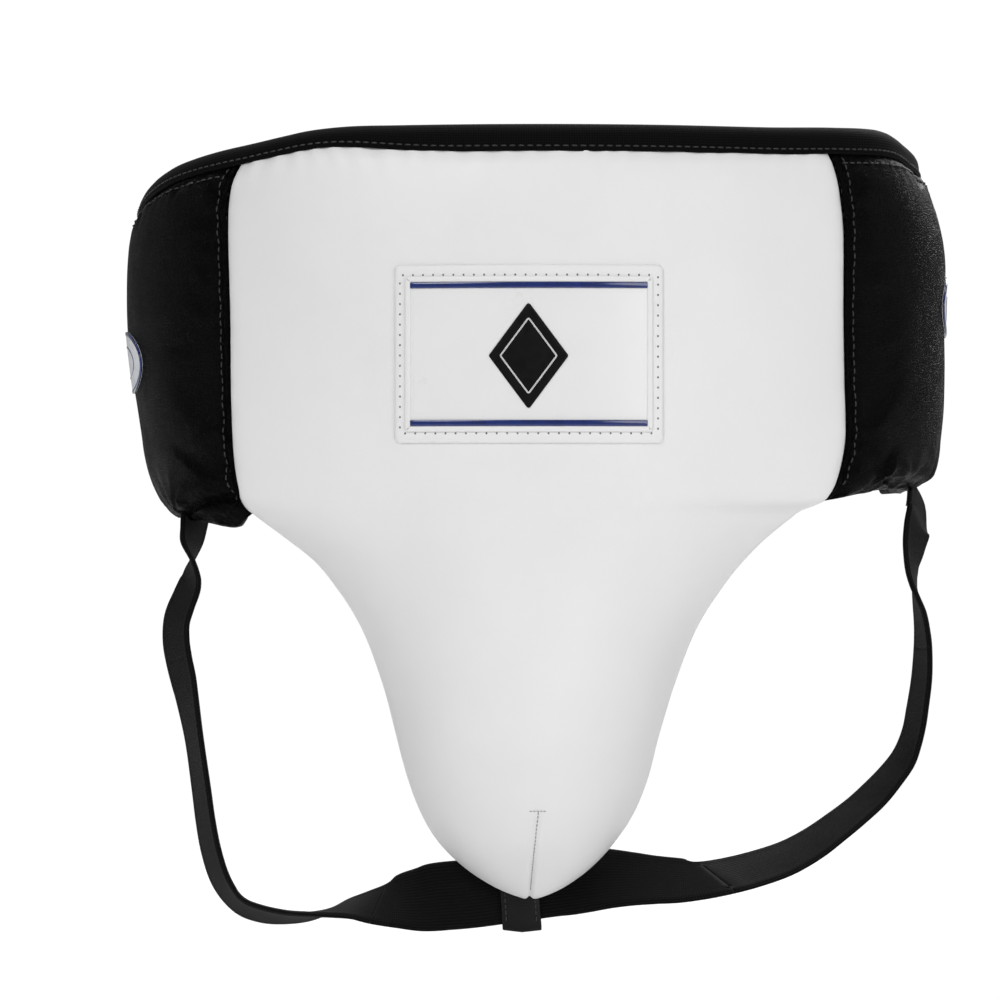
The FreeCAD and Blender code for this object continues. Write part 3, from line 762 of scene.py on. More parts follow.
def panel_point(z, fraction, depth):
    radius, centre, angle, under = section(side_of(fraction), z)
    reach = radius - depth * math.cos(under)
    turn = angle * fraction
    return (reach * math.sin(turn), centre - reach * math.cos(turn), z + depth * math.sin(under))


def dart_line(z):
    """Where the dart at the cup's tip runs, out from the middle."""
    return -0.3 + 4.4 * (z + 332) / 38


def make_panel():
    """The belly and cup: white leather over foam, its free rim rolled, with a dart at the tip."""
    lower = spaced(86, BELLY_LOW, -SECTIONS[-1][0], 0.3)
    upper = spaced(54, 1, 0, 0.2)[:-1]
    columns = [u * (0.72 + 0.28 * u * u) for u in spaced(129, -1, 1, 0.25)]
    outer, inner, uvs, rolls = [], [], [], []
    for row in upper + lower:
        for u in columns:
            side = side_of(u)
            if row > 0:
                edge_top = top_height(side, ARC_SEAM - 8)
                half = section(side, BELLY_LOW + (edge_top - BELLY_LOW) * row)[2]
                arc = FRONT_R * half * u
                top = top_height(side, arc)
                z = BELLY_LOW + (top - BELLY_LOW) * row
                below, away = top - z, FRONT_R * half - abs(arc)
                crown = TAPE_HALF / HALF_DEPTH
                crown += (1 - crown) * ease_round((below - tape_height(arc) + 0.5) / 34)
                swell = HALF_DEPTH * crown * (0.15 + 0.85 * ease_round(below / 6))
                free = 0.0
            else:
                z = row
                radius, _, angle, _ = section(side, z)
                arc, away = radius * angle * u, radius * angle * (1 - abs(u))
                below, swell = 999, HALF_DEPTH
                free = blend01((-158 - z) / 10)
            dip = 3.6 * (1 - ease_round(away / 10)) ** 1.2 * (1 - free)
            dart = 1.2 * math.exp(-((arc - dart_line(z)) / 1.1) ** 2) * blend01((-291 - z) / 6)
            fade = ease_round(min(below, away) / 5)
            label = 1 - blend01((abs(arc) - 62) / 14) if -150 < z < -50 else 0.0
            soft = (0.3 * pucker(arc, below - TAPE_HEIGHT, 11, 14)
                    + 0.35 * pucker(z, away, 12, 14) * (1 - free)
                    + 0.55 * drift(arc, 2, z, 40) * (1 - label)) * fade
            depth_out = HALF_DEPTH - swell + dip + dart - soft
            depth_in = HALF_DEPTH + swell - 0.2 * soft
            if row > 0:
                outer.append((*plan(arc, depth_out), z))
                inner.append((*plan(arc, depth_in), z))
            else:
                outer.append(panel_point(z, u, depth_out))
                inner.append(panel_point(z, u, depth_in))
            uvs.append((arc, z))
            rolls.append(ROLL * free)
    tall, wide, count = len(upper) + len(lower), len(columns), len(outer)
    edge = ([i * wide + wide - 1 for i in range(tall)]
            + [count - 1 - j for j in range(1, wide)]
            + [i * wide for i in range(tall - 2, -1, -1)])

    def between(index, t):
        spot = Vector(outer[index]).lerp(Vector(inner[index]), (1 - math.cos(math.pi * t)) / 2)
        spot.y += rolls[index] * math.sin(math.pi * t)
        return tuple(spot)

    vertices, faces, uvs, lined, loops = two_sheets(outer, inner, uvs, wide, edge, 12, between,
                                                    False)
    lid_a, lid_b = list(range(wide)), list(range(count, count + wide))
    faces += [(lid_a[k], lid_a[k + 1], lid_b[k + 1], lid_b[k]) for k in range(wide - 1)]
    # the two ends of every roll meet the lid in a narrow face
    for end in (0, -1):
        faces.append(tuple(loop[end] for loop in loops))
    piece = make_mesh("front_panel", vertices, faces, MAT["white"], uvs, MAT["lining"], lined)
    attach(piece, "front", "white_leather", "front_cover", "outer_foam", "inner_foam",
           "front_lining")
    return piece


PADS = {"front_panel": make_panel()}
for side_name in SIDES:
    PADS[side_name + "_hip"] = make_hip(side_name)
    PADS[side_name + "_wing"] = make_wing(side_name)
TREES = {}
for pad_name, pad in PADS.items():
    bpy.context.view_layer.update()
    TREES[pad_name] = BVHTree.FromPolygons([tuple(v.co / MM) for v in pad.data.vertices],
                                           [tuple(p.vertices) for p in pad.data.polygons])


# ---------------------------------------------------------------- sewn details on the pads
def on_pad(pad_name, arc, z, lift=0.0):
    """The pad's real surface outside a place on the belt, with its normal."""
    start, towards = Vector(belt_point(arc, -20, z)), Vector(belt_point(arc, 10, z))
    spot, normal, _, _ = TREES[pad_name].ray_cast(start, (towards - start).normalized(), 60)
    if spot is None:
        spot, normal, _, _ = TREES[pad_name].find_nearest(Vector(belt_point(arc, 5, z)))
    if normal.dot(start - spot) < 0:
        normal = -normal
    return spot + normal * lift, normal


def stitch_row(name, pad_name, places, material, **sizes):
    spots = [on_pad(pad_name, arc, z) for arc, z in places]
    return stitches(name, [s for s, _ in spots], [n for _, n in spots], material, **sizes)


def cord_along(name, pad_name, places, material, wide, high, sink=0.6):
    """A raised strip along a pad's surface, with a rounded top."""
    rings, uvs, run = [], [], 0.0
    spots = [on_pad(pad_name, arc, z) for arc, z in places]
    for index, (spot, normal) in enumerate(spots):
        ahead = spots[min(index + 1, len(spots) - 1)][0] - spots[max(index - 1, 0)][0]
        across = ahead.normalized().cross(normal).normalized()
        run += (spot - spots[max(index - 1, 0)][0]).length
        ring = []
        for k in range(12):
            turn = math.tau * k / 12
            lift = math.sin(turn)
            height = high * lift if lift > 0 else sink * lift
            ring.append(tuple(spot + across * (wide / 2 * math.cos(turn)) + normal * height))
            uvs.append((wide * k / 12, run))
        rings.append(ring)
    return tube_mesh(name, rings, material, uvs)


def make_dart():
    """The dart's closing seam and the bar tack across its top."""
    def on_cup(x, z):
        spot, normal, _, _ = TREES["front_panel"].ray_cast(Vector((x, -200, z)), Vector((0, 1, 0)))
        return spot, normal

    down = [on_cup(dart_line(z), z) for z in spaced(48, DART_TOP, DART_LOW)]
    across = [on_cup(dart_line(DART_TOP) + x, DART_TOP + 0.2) for x in spaced(12, -4, 4)]
    rows = []
    for line, sizes in ((down, {"pitch": 2.0, "length": 1.7}), (across, {"pitch": 1.5, "length": 1.3})):
        rows.append(stitches("dart_row", [spot for spot, _ in line], [way for _, way in line],
                             MAT["grey_thread"], thick=0.2, lift=0.05, **sizes))
    attach(join("dart_stitches", rows), "front", "white_leather")


def seam_places(side, offset, low, high, step=2.0):
    """Places down a seam, at a distance behind it."""
    sign, places = SIDES[side], []
    count = int((high - low) / step)
    for k in range(count + 1):
        z = high - (high - low) * k / count
        places.append((sign * (seam_arc(side, z) + offset), z))
    return places


def make_seam(side):
    """The welt over a side seam and its two rows of stitches."""
    sign, hip = SIDES[side], side + "_hip"
    top = top_height(side, ARC_SEAM - 6) - tape_height(sign * ARC_SEAM) + 1
    low = curve(BOTTOM_LINE[side], ARC_SEAM - 10) + 5
    welt = cord_along(side + "_welt", hip, seam_places(side, 1.6, low, top), MAT["black"],
                      2.6, 1.0)
    attach(welt, "front", "black_leather", side + "_seam_welt")
    rows = [stitch_row(side + "_seam_row", hip, seam_places(side, offset, low + 2, top - 1),
                       MAT["black_thread"], pitch=3.6, length=2.7, thick=0.36)
            for offset in (0.9, 4.4)]
    attach(join(side + "_seam_stitches", rows), "front", "binding_tape")
    below = [(sign * arc, top_height(side, arc) - tape_height(sign * arc) - 3)
             for arc in spaced(60, ARC_SEAM + 0.5, FLEX_ARC - 5)]
    attach(stitch_row(side + "_hip_stitches", hip, below, MAT["black_thread"], pitch=4.0,
                      length=2.9, thick=0.36), "front", "binding_tape")
    wing = side + "_wing"
    below = [(sign * arc, wing_edges(side, arc)[0] - tape_height(sign * arc) - 3)
             for arc in spaced(40, WING_START + 4, WING_END - 4)]
    attach(stitch_row(side + "_wing_stitches", wing, below, MAT["black_thread"], pitch=4.0,
                      length=2.9, thick=0.36), wing, "binding_tape")


def tape_ring(arc, top, mid, half, height, wall=1.15):
    """One section of tape folded over an edge, open below, with its size in millimetres."""
    line = []
    for k in range(9):
        line.append((mid - half, top - height + (height - half * 0.8) * k / 8))
    for k in range(1, 12):
        turn = math.pi * k / 12
        line.append((mid - half * math.cos(turn), top - half * 0.8 + half * 0.8 * math.sin(turn)))
    for k in range(9):
        line.append((mid + half, top - half * 0.8 - (height - half * 0.8) * k / 8))
    inside = [(mid + (d - mid) * (half - wall) / half, z - (0 if z < top - half else wall))
              for d, z in reversed(line)]
    ring, run, uvs, before = [], 0.0, [], line[0]
    for depth, z in line + inside:
        run += math.hypot(depth - before[0], z - before[1])
        before = (depth, z)
        ring.append(belt_point(arc, depth, z))
        uvs.append((run, arc))
    return ring, uvs


def make_tape(name, arcs, top_of, mid, half):
    rings, uvs = [], []
    for arc in arcs:
        wobble = 0.35 * noise.noise(Vector((arc / 17, 2.2, 0)))
        ring, ring_uvs = tape_ring(arc, top_of(arc) + 0.8, mid, half,
                                   tape_height(arc) + wobble)
        rings.append(ring)
        uvs += ring_uvs
    return tube_mesh(name, rings, MAT["tape"], uvs)


def tape_stitches(name, arcs, top_of, mid, half):
    path = [Vector(belt_point(arc, mid - half - 0.12, top_of(arc) + 3.1 - tape_height(arc)))
            for arc in arcs]
    normals = [Vector((*plan(arc, -10), 0)) - Vector((*plan(arc, 0), 0)) for arc in arcs]
    return stitches(name, path, normals, MAT["black_thread"], pitch=3.8, length=2.8, thick=0.34)


def belt_top(arc):
    return top_height(side_of(arc), arc)


def make_bindings():
    """The tape over the belt's top edge, on the front and hips and on each wing."""
    half = TAPE_HALF + 1.25
    arcs = spaced(420, -FLEX_ARC, FLEX_ARC)
    attach(make_tape("belt_binding", arcs, belt_top, HALF_DEPTH, half), "front", "binding_tape",
           "front_binding", "right_hip_binding", "left_hip_binding")
    attach(tape_stitches("belt_binding_stitches", arcs, belt_top, HALF_DEPTH, half), "front",
           "binding_tape")
    for side, sign in SIDES.items():
        arcs = [sign * a for a in spaced(110, WING_START, WING_END)]
        wing = side + "_wing"

        def top_of(arc, side=side):
            return wing_edges(side, abs(arc))[0]

        attach(make_tape(wing + "_tape", arcs, top_of, HALF_WING, half), wing, "binding_tape",
               wing + "_binding")
        attach(tape_stitches(wing + "_tape_stitches", arcs, top_of, HALF_WING, half), wing,
               "binding_tape")


def make_flex(side):
    """The soft channel of leather between hip and wing, and the tape across it."""
    sign, wing = SIDES[side], side + "_wing"
    hip_low = curve(BOTTOM_LINE[side], FLEX_ARC) + 4
    wing_top, wing_low = wing_edges(side, WING_START)
    rings, uvs = [], []
    for t in spaced(15, 0, 1):
        arc = sign * (FLEX_ARC - 5 + (WING_START - FLEX_ARC + 10) * t)
        low = hip_low + (wing_low + 3 - hip_low) * blend01(t)
        top = belt_top(sign * FLEX_ARC) * (1 - blend01(t)) + wing_top * blend01(t) - 2
        sag = 1.6 * math.sin(math.pi * t)
        near, far = 7.4 - 1.8 * t + sag, 17.4 - 4.4 * t - sag
        ring = []
        for k in range(31):
            z = low + (top - low) * k / 30
            ring.append(belt_point(arc, near + 0.5 * pucker(z, 0, 9, 10), z))
            uvs.append((abs(arc), z))
        for k in range(31):
            z = top - (top - low) * k / 30
            ring.append(belt_point(arc, far, z))
            uvs.append((abs(arc), z))
        rings.append(ring)
    gusset = tube_mesh(side + "_flex_gusset", rings, MAT["black"], uvs)
    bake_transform(gusset)

    def top_of(arc):
        t = blend01((abs(arc) - FLEX_ARC + 2) / (WING_START - FLEX_ARC + 4))
        return belt_top(sign * FLEX_ARC) * (1 - t) + wing_top * t

    rings, uvs = [], []
    for arc in spaced(26, FLEX_ARC - 6, WING_START + 6):
        t = blend01((arc - FLEX_ARC + 2) / (WING_START - FLEX_ARC + 4))
        mid = HALF_DEPTH * (1 - t) + HALF_WING * t
        ring, ring_uvs = tape_ring(sign * arc, top_of(arc) + 1.1, mid, TAPE_HALF + 1.5,
                                   tape_height(arc))
        rings.append(ring)
        uvs += ring_uvs
    tape = tube_mesh(side + "_flex_tape", rings, MAT["tape"], uvs)
    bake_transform(tape)


# ---------------------------------------------------------------- plates that follow a surface
def rounded_box(x_low, x_high, z_low, z_high, radius, corner=6):
    points = []
    for cx, cz, first in ((x_high - radius, z_high - radius, 0), (x_low + radius, z_high - radius, 90),
                          (x_low + radius, z_low + radius, 180),
                          (x_high - radius, z_low + radius, 270)):
        for k in range(corner + 1):
            turn = math.radians(first + 90 * k / corner)
            points.append((cx + radius * math.cos(turn), cz + radius * math.sin(turn)))
    return points


def oval(cx, cz, half, rise, count=64):
    return [(cx + half * math.cos(math.tau * k / count), cz + rise * math.sin(math.tau * k / count))
            for k in range(count)]


def diamond(cx, cz, half, rise, radius=1.0, corner=3):
    """A diamond with slightly rounded points."""
    points = []
    slope = math.atan2(rise, half)
    for first, px, pz in ((0, cx + half, cz), (90, cx, cz + rise), (180, cx - half, cz),
                          (270, cx, cz - rise)):
        spread = math.degrees(slope) if first % 180 else 90 - math.degrees(slope)
        reach = radius / math.cos(math.radians(spread))
        back = Vector((px - cx, pz - cz)).normalized()
        for k in range(corner + 1):
            turn = math.radians(first - spread + 2 * spread * k / corner)
            points.append((px - back.x * reach + radius * math.cos(turn),
                           pz - back.y * reach + radius * math.sin(turn)))
    return points


def inset_outline(points, amount):
    """The same outline moved inwards by an amount; the outline runs anticlockwise."""
    moved, count = [], len(points)
    for k in range(count):
        a, b, c = (Vector(points[(k + d) % count]) for d in (-1, 0, 1))
        n1, n2 = (b - a).normalized(), (c - b).normalized()
        normal = Vector((-n1.y - n2.y, n1.x + n2.x))
        if normal.length < 1e-6:
            normal = Vector((-n1.y, n1.x))
        normal.normalize()
        stretch = max(0.35, -n1.y * normal.x + n1.x * normal.y)
        moved.append(tuple(b + normal * (amount / stretch)))
    return moved


def plate(name, outline, low, high, roll, material, place, step=2.5):
    """A thin plate over a surface, its edge rounded; place(x, z, height) gives a point."""
    shape = bmesh.new()
    loops = []
    for inset, height in ((0, low), (0, high - roll), (0.12 * roll, high - 0.62 * roll),
                          (0.4 * roll, high - 0.25 * roll), (roll, high)):
        loops.append([shape.verts.new((x, z, height)) for x, z in inset_outline(outline, inset)])
    count = len(outline)
    for a, b in zip(loops, loops[1:]):
        for k in range(count):
            shape.faces.new((a[k], a[(k + 1) % count], b[(k + 1) % count], b[k]))
    shape.faces.new(loops[-1])
    shape.faces.new(list(reversed(loops[0])))
    for axis in (0, 1):
        values = [p[axis] for p in outline]
        cut = min(values) + step
        while cut < max(values) - 0.2:
            where, normal = [0, 0, 0], [0, 0, 0]
            where[axis], normal[axis] = cut, 1
            bmesh.ops.bisect_plane(shape, geom=shape.verts[:] + shape.edges[:] + shape.faces[:],
                                   plane_co=where, plane_no=normal, dist=1e-4)
            cut += step
    shape.verts.index_update()
    flat = [v.co.copy() for v in shape.verts]
    faces = [tuple(v.index for v in f.verts) for f in shape.faces]
    shape.free()
    return make_mesh(name, [place(*co) for co in flat], faces, material,
                     [(co.x, co.y) for co in flat])


def loop_strip(name, outline, wide, low, high, material, place):
    """A raised frame along a closed outline, rounded on top; the outline is its outer edge."""
    rings, uvs = [], []
    profile = ((0, low), (0, high - 0.35), (0.18, high - 0.1), (0.5, high), (wide - 0.5, high),
               (wide - 0.18, high - 0.1), (wide, high - 0.35), (wide, low))
    loops = [inset_outline(outline, inset) for inset, _ in profile]
    for k in range(len(outline)):
        rings.append([place(*loops[j][k], profile[j][1]) for j in range(len(profile))])
        uvs += [loops[j][k] for j in range(len(profile))]
    return tube_mesh(name, rings, material, uvs, closed=True)


def fill_outline(points, step=3.0):
    """Extra points along an outline's long straight sides."""
    filled = []
    for a, b in zip(points, points[1:] + points[:1]):
        count = max(1, round(math.hypot(b[0] - a[0], b[1] - a[1]) / step))
        filled += [(a[0] + (b[0] - a[0]) * k / count, a[1] + (b[1] - a[1]) * k / count)
                   for k in range(count)]
    return filled


def over_front(x, z, height):
    spot, normal = on_pad("front_panel", x, z)
    return tuple(spot + normal * height)


def make_label():
    """The sewn patch on the belly with its frame, face, two bars and a plain diamond."""
    low, high = box_mm("label_patch")
    patch = rounded_box(low[0], high[0], low[2], high[2], 2.5)
    attach(plate("label_patch_leather", patch, -0.8, 1.5, 1.1, MAT["white"], over_front),
           "front", "white_leather", "label_patch")
    low, high = box_mm("label_frame")
    frame = fill_outline(rounded_box(low[0], high[0], low[2], high[2], 1.6))
    attach(loop_strip("label_frame_rim", frame, 2.5, 1.2, 2.5, MAT["white"], over_front),
           "front", "white_leather", "label_frame")
    low, high = box_mm("label_face")
    face = rounded_box(low[0] - 0.3, high[0] + 0.3, low[2] - 0.3, high[2] + 0.3, 0.5)
    attach(plate("label_face_film", face, 1.2, 2.0, 0.2, MAT["label"], over_front), "front",
           "label_face", "label_face")
    for word in ("upper", "lower"):
        low, high = box_mm("label_bar_" + word)
        bar = rounded_box(low[0] - 0.2, high[0] + 0.2, low[2], high[2], 0.5, 3)
        attach(plate("label_bar_%s_film" % word, bar, 1.8, 2.7, 0.3, MAT["navy"], over_front),
               "front", "navy_bar", "label_bar_" + word)
    low, high = box_mm("label_emblem")
    cx, cz = (low[0] + high[0]) / 2, (low[2] + high[2]) / 2
    half, rise = (high[0] - low[0]) / 2, (high[2] - low[2]) / 2
    whole = plate("emblem_field", diamond(cx, cz, half, rise), 1.8, 2.45, 0.2, MAT["ink"],
                  over_front, 2.0)
    attach(whole, "front", "emblem_ink", "label_emblem")
    ring = loop_strip("emblem_line", fill_outline(diamond(cx, cz, half - 4.5, rise - 6.1)), 0.9,
                      2.2, 2.65, MAT["label"], over_front)
    attach(ring, "front", "label_face")
    # needle holes round the border, each drawn as a dark disc of painted shade
    low, high = box_mm("label_patch")
    track = rounded_box(low[0] + 2.6, high[0] - 2.6, low[2] + 4.4, high[2] - 4.4, 1.0, 2)
    holes, walk, carried = [], 0.0, 0.0
    for a, b in zip(track, track[1:] + track[:1]):
        gap = math.hypot(b[0] - a[0], b[1] - a[1])
        while carried <= walk + gap and gap > 1e-6:
            t = (carried - walk) / gap
            holes.append((a[0] + (b[0] - a[0]) * t, a[1] + (b[1] - a[1]) * t))
            carried += 4.4
        walk += gap
    dots = [plate("label_hole", oval(x, z, 0.42, 0.5, 8), 1.1, 1.62, 0.1, MAT["hole_shade"],
                  over_front, 5) for x, z in holes]
    attach(join("label_needle_holes", dots), "front", "white_leather")


def make_badge(side):
    """An oval badge without any mark: white, with a navy rim."""
    hip = side + "_hip"
    low, high = box_mm(side + "_badge")
    sign, middle_z = SIDES[side], (low[2] + high[2]) / 2
    middle = (hip_arc(low[1]) + hip_arc(high[1])) / 2
    half, rise = (hip_arc(high[1]) - hip_arc(low[1])) / 2, (high[2] - low[2]) / 2

    def over_hip(x, z, height):
        spot, normal = on_pad(hip, sign * x, z)
        return tuple(spot + normal * height)

    attach(plate(side + "_badge_white", oval(middle, middle_z, half, rise), -0.5, 0.9, 0.4,
                 MAT["badge"], over_hip, 2.5), "front", "badge", side + "_badge")
    attach(loop_strip(side + "_badge_rim", oval(middle, middle_z, half + 0.1, rise + 0.1), 1.5,
                      0.3, 1.15, MAT["navy"], over_hip), "front", "navy_bar")
    attach(loop_strip(side + "_badge_line", oval(middle, middle_z, half * 0.62, rise * 0.55), 0.8,
                      0.6, 1.1, MAT["navy"], over_hip), "front", "navy_bar")


# ---------------------------------------------------------------- webbing
SELVAGE, SELVAGE_RISE = 0.875, 0.28                   # a woven edge rib's place in the half width


def ribbon(name, stations, wide, thick, material, columns=17):
    """Flat webbing with soft edges along stations of (place, width direction, face direction)."""
    half, rings, uvs, run = wide / 2, [], [], 0.0
    for index, (spot, across, face) in enumerate(stations):
        run += (spot - stations[max(index - 1, 0)][0]).length
        ring = []
        for way in (1, -1):
            for k in range(columns):
                u = way * (1 - 2 * k / (columns - 1))
                reach = math.copysign(min(abs(u) * half, half - thick * 0.18), u)
                rise = thick / 2 * way * (0.45 if abs(u) > 0.999 else 1.0)
                if abs(abs(u) - SELVAGE) < 0.01:
                    rise += SELVAGE_RISE * way
                ring.append(tuple(spot + across * reach + face * rise))
                uvs.append((u * half, run))
            edge = spot - across * (way * half)
            ring.append(tuple(edge))
            uvs.append((-way * half, run))
        rings.append(ring)
    return tube_mesh(name, rings, material, uvs)


STRAP_STEPS = 7                                       # points from one station to the next


def spline(rows, per=STRAP_STEPS):
    """Points of a smooth line through rows of numbers."""
    out = []
    for i in range(len(rows) - 1):
        p0, p1, p2 = rows[max(i - 1, 0)], rows[i], rows[i + 1]
        p3 = rows[min(i + 2, len(rows) - 1)]
        for step in range(per):
            t = step / per
            out.append([0.5 * (2 * b + (c - a) * t + (2 * a - 5 * b + 4 * c - d) * t * t
                               + (3 * b - a - 3 * c + d) * t ** 3)
                        for a, b, c, d in zip(p0, p1, p2, p3)])
    out.append(list(rows[-1]))
    return out


def strap_frames(rows):
    """Stations with directions from rows of x, y, z, normal x, normal y, turn."""
    line, frames, last = spline(rows), [], None
    for index, (x, y, z, nx, ny, degrees) in enumerate(line):
        spot, normal = Vector((x, y, z)), Vector((nx, ny, 0)).normalized()
        ahead, behind = line[min(index + 1, len(line) - 1)], line[max(index - 1, 0)]
        along = (Vector(ahead[:3]) - Vector(behind[:3])).normalized()
        across = along.cross(normal).normalized()
        turn = math.radians(degrees)
        width = (normal * math.cos(turn) + across * math.sin(turn)).normalized()
        if last is not None and width.dot(last) < 0:
            width = -width
        last = width
        frames.append((spot, width, along.cross(width).normalized()))
    return frames


def make_strap():
    """The elastic leg strap: its middle in the keeper, and each side's loop in two halves."""
    rows, marks = [], {}
    for side in ("left", "right"):
        sign = SIDES[side]
        (x_in, y_in), (x_out, y_out) = STRAP_ENDS[side]
        lean = (y_out - y_in) / (x_out - x_in)
        # the held end goes up behind the pad's lower edge
        tuck, tuck_z = STRAP_TUCK[side]
        run = [(sign * x, y_in + (x - x_in) * lean + tuck * blend01((z - tuck_z) / 12), z,
                -sign * lean, 1.0, turn) for x, z, turn in STRAP_SIDE[side]]
        if side == "left":
            rows += run
            marks["left"] = (UPPER_END, len(rows) - 1)
            rows += [(x, STRAP_Y, z, 0.0, 1.0, turn) for x, z, turn in STRAP_MIDDLE]
        else:
            run = [(*values[:5], -values[5]) for values in run]
            start = len(rows)
            rows += run[::-1]
            marks["right"] = (len(rows) - 1 - UPPER_END, start)
    frames = strap_frames(rows)
    cuts = [0, *(STRAP_STEPS * station for station in (*marks["left"], *marks["right"][::-1])),
            len(frames) - 1]
    names = ["left_strap_upper", "left_strap_lower", "strap_centre", "right_strap_lower",
             "right_strap_upper"]
    length = sum((b[0] - a[0]).length for a, b in zip(frames, frames[1:]))
    print("strap length mm %.0f" % length)
    for name, start, end in zip(names, cuts, cuts[1:]):
        piece = ribbon(name, frames[start:end + 1], STRAP_WIDE, STRAP_THICK, MAT["elastic"])
        side = name.split("_")[0]
        if side == "strap":
            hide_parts("strap_middle")
            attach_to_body(piece, "front")
            continue
        if "upper" in name:
            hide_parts(side + "_strap_top", side + "_strap_upper_twist",
                        side + "_strap_loop")
            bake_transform(piece)
        else:
            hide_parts(side + "_strap_lower_twist")
            sign, near = SIDES[side], STRAP_SIDE[side][-1][0]
            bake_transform(piece)


def make_keeper():
    """The glossy leather loop under the cup that the strap runs through."""
    low, high = box_mm("strap_keeper")
    x_low, x_high = low[0], high[0]
    cy, cz = (low[1] + high[1]) / 2, (low[2] + high[2]) / 2
    deep, tall = (high[1] - low[1]) / 2, (high[2] - low[2]) / 2
    wall, rings, uvs = 1.6, [], []
    count = 64
    for k in range(count):
        turn = math.tau * k / count
        # a flattened loop: long flat sides with round ends
        y_way, z_way = math.cos(turn), math.sin(turn)
        y = math.copysign(abs(y_way) ** 0.55, y_way)
        z = math.copysign(abs(z_way) ** 0.9, z_way)
        ring = []
        for x, shrink in ((x_low, 0.25), (x_low + 0.5, 0), ((x_low + x_high) / 2, -0.9),
                          (x_high - 0.5, 0), (x_high, 0.25), (x_high, wall - 0.25),
                          (x_high - 0.5, wall), (x_low + 0.5, wall), (x_low, wall - 0.25)):
            tilt = -0.06 * (z * tall)
            ring.append((x + tilt, cy + y * (deep - shrink), cz + z * (tall - shrink)))
            uvs.append((x, k * 1.3))
        rings.append(ring)
    keeper = tube_mesh("keeper_loop", rings, MAT["polished"], uvs, closed=True)
    attach(keeper, "front", "keeper_leather", "strap_keeper")
    rows = []
    for x in (x_low + 2.0, x_high - 2.0):
        path = [Vector((x - 0.06 * z, cy - deep - 0.02, cz + z)) for z in spaced(20, -tall + 4, tall - 4)]
        rows.append(stitches("keeper_row", path, [Vector((0, -1, 0))] * len(path),
                             MAT["black_thread"], pitch=2.6, length=1.9, thick=0.28))
    attach(join("keeper_stitches", rows), "front", "keeper_leather")


# ---------------------------------------------------------------- rear closure
REAR_R, REAR_CY = 339.6, -214.6
ELASTIC, PILE, PEEL_X = 2.4, 1.2, 101.0               # thicknesses, and where the strap peels
BAND_WIDE, LOOP_WIDE, HOOK_WIDE, TAB_WIDE = 75, 69, 67, 47
BAND_LOW, BAND_HIGH = box_mm("receiving_band")[0][2], box_mm("receiving_band")[1][2]


def rear_frames(x_low, x_high, radius, step=2.0):
    frames, count = [], max(2, int((x_high - x_low) / step))
    middle = (BAND_LOW + BAND_HIGH) / 2
    for k in range(count + 1):
        x = x_low + (x_high - x_low) * k / count
        y = REAR_CY + math.sqrt(radius ** 2 - x ** 2)
        out = Vector((x, y - REAR_CY, 0)).normalized()
        frames.append((Vector((x, y, middle)), Vector((0, 0, 1)), out))
    return frames


def rear_row(name, x_low, x_high, z_low, z_high, radius, material):
    """A closed rectangle of stitches on a rear band, with a cross from corner to corner."""
    def spot(x, z):
        return Vector((x, REAR_CY + math.sqrt(radius ** 2 - x ** 2), z))

    rows = []
    corners = [(x_low, z_low), (x_high, z_low), (x_high, z_high), (x_low, z_high)]
    runs = list(zip(corners, corners[1:] + corners[:1])) + [(corners[0], corners[2]),
                                                            (corners[1], corners[3])]
    for (xa, za), (xb, zb) in runs:
        path = [spot(xa + (xb - xa) * k / 16, za + (zb - za) * k / 16) for k in range(17)]
        rows.append(stitches(name, path, [Vector((0, 1, 0))] * 17, material, pitch=3.4,
                             length=2.5, thick=0.34))
    return rows


def make_closure():
    """Loop band on the right wing; the hook strap peels off from the left wing."""
    band = ribbon("receiving_elastic", rear_frames(-118, -2, REAR_R - ELASTIC / 2),
                  BAND_WIDE, ELASTIC, MAT["elastic"], 21)
    attach(band, "right_wing", "elastic_webbing", "receiving_band")
    loop = ribbon("loop_pile_patch", rear_frames(-100, -6, REAR_R + PILE / 2 - 0.1),
                  LOOP_WIDE, PILE, MAT["loop"], 21)
    attach(loop, "right_wing", "pile_loop", "loop_patch")
    out = REAR_R + 2 * PILE + 0.3 + ELASTIC / 2
    elastic = ribbon("closure_elastic_strap", rear_frames(-62, 118, out), BAND_WIDE,
                     ELASTIC, MAT["elastic"], 21)
    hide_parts("closure_elastic", "closure_stub")
    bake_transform(elastic)
    hook = ribbon("hook_pile_patch", rear_frames(-58, -8, REAR_R + 1.5 * PILE + 0.3),
                  HOOK_WIDE, PILE, MAT["hook"], 21)
    attach(hook, "closure_strap", "pile_hook", "hook_patch")
    tab = ribbon("pull_tab_leather", rear_frames(-78, -60, out), TAB_WIDE,
                 ELASTIC + 0.3, MAT["black"], 13)
    attach(tab, "closure_strap", "black_leather", "pull_tab")
    for name, body, x_low, x_high, margin, radius in (
            ("closure", "closure_strap", -58, -8, 5, out + ELASTIC / 2),
            ("band", "right_wing", -112, -103, 4, REAR_R),
            ("stub", "left_wing", 107, 112.5, 4, out + ELASTIC / 2)):
        rows = rear_row(name + "_row", x_low, x_high, BAND_LOW + margin, BAND_HIGH - margin,
                        radius, MAT["black_thread"])
        attach(join(name + "_stitches", rows), body, "elastic_webbing")


make_bindings()
for side_name in SIDES:
    make_seam(side_name)
    make_flex(side_name)
    make_badge(side_name)
make_label()
make_dart()
make_strap()
make_keeper()
make_closure()

# ---------------------------------------------------------------- pieces kept from the CAD
for node, material in (("belly_board", "board"), ("cup_shell", "cup"), ("cup_gasket", "gasket")):
    kept = frame["nodes"][node]
    kept.data.materials.clear()
    kept.data.materials.append(MAT[material])

# ---------------------------------------------------------------- stage, light and camera
FLOOR_Z = -0.415
FLOOR_R = 2.4


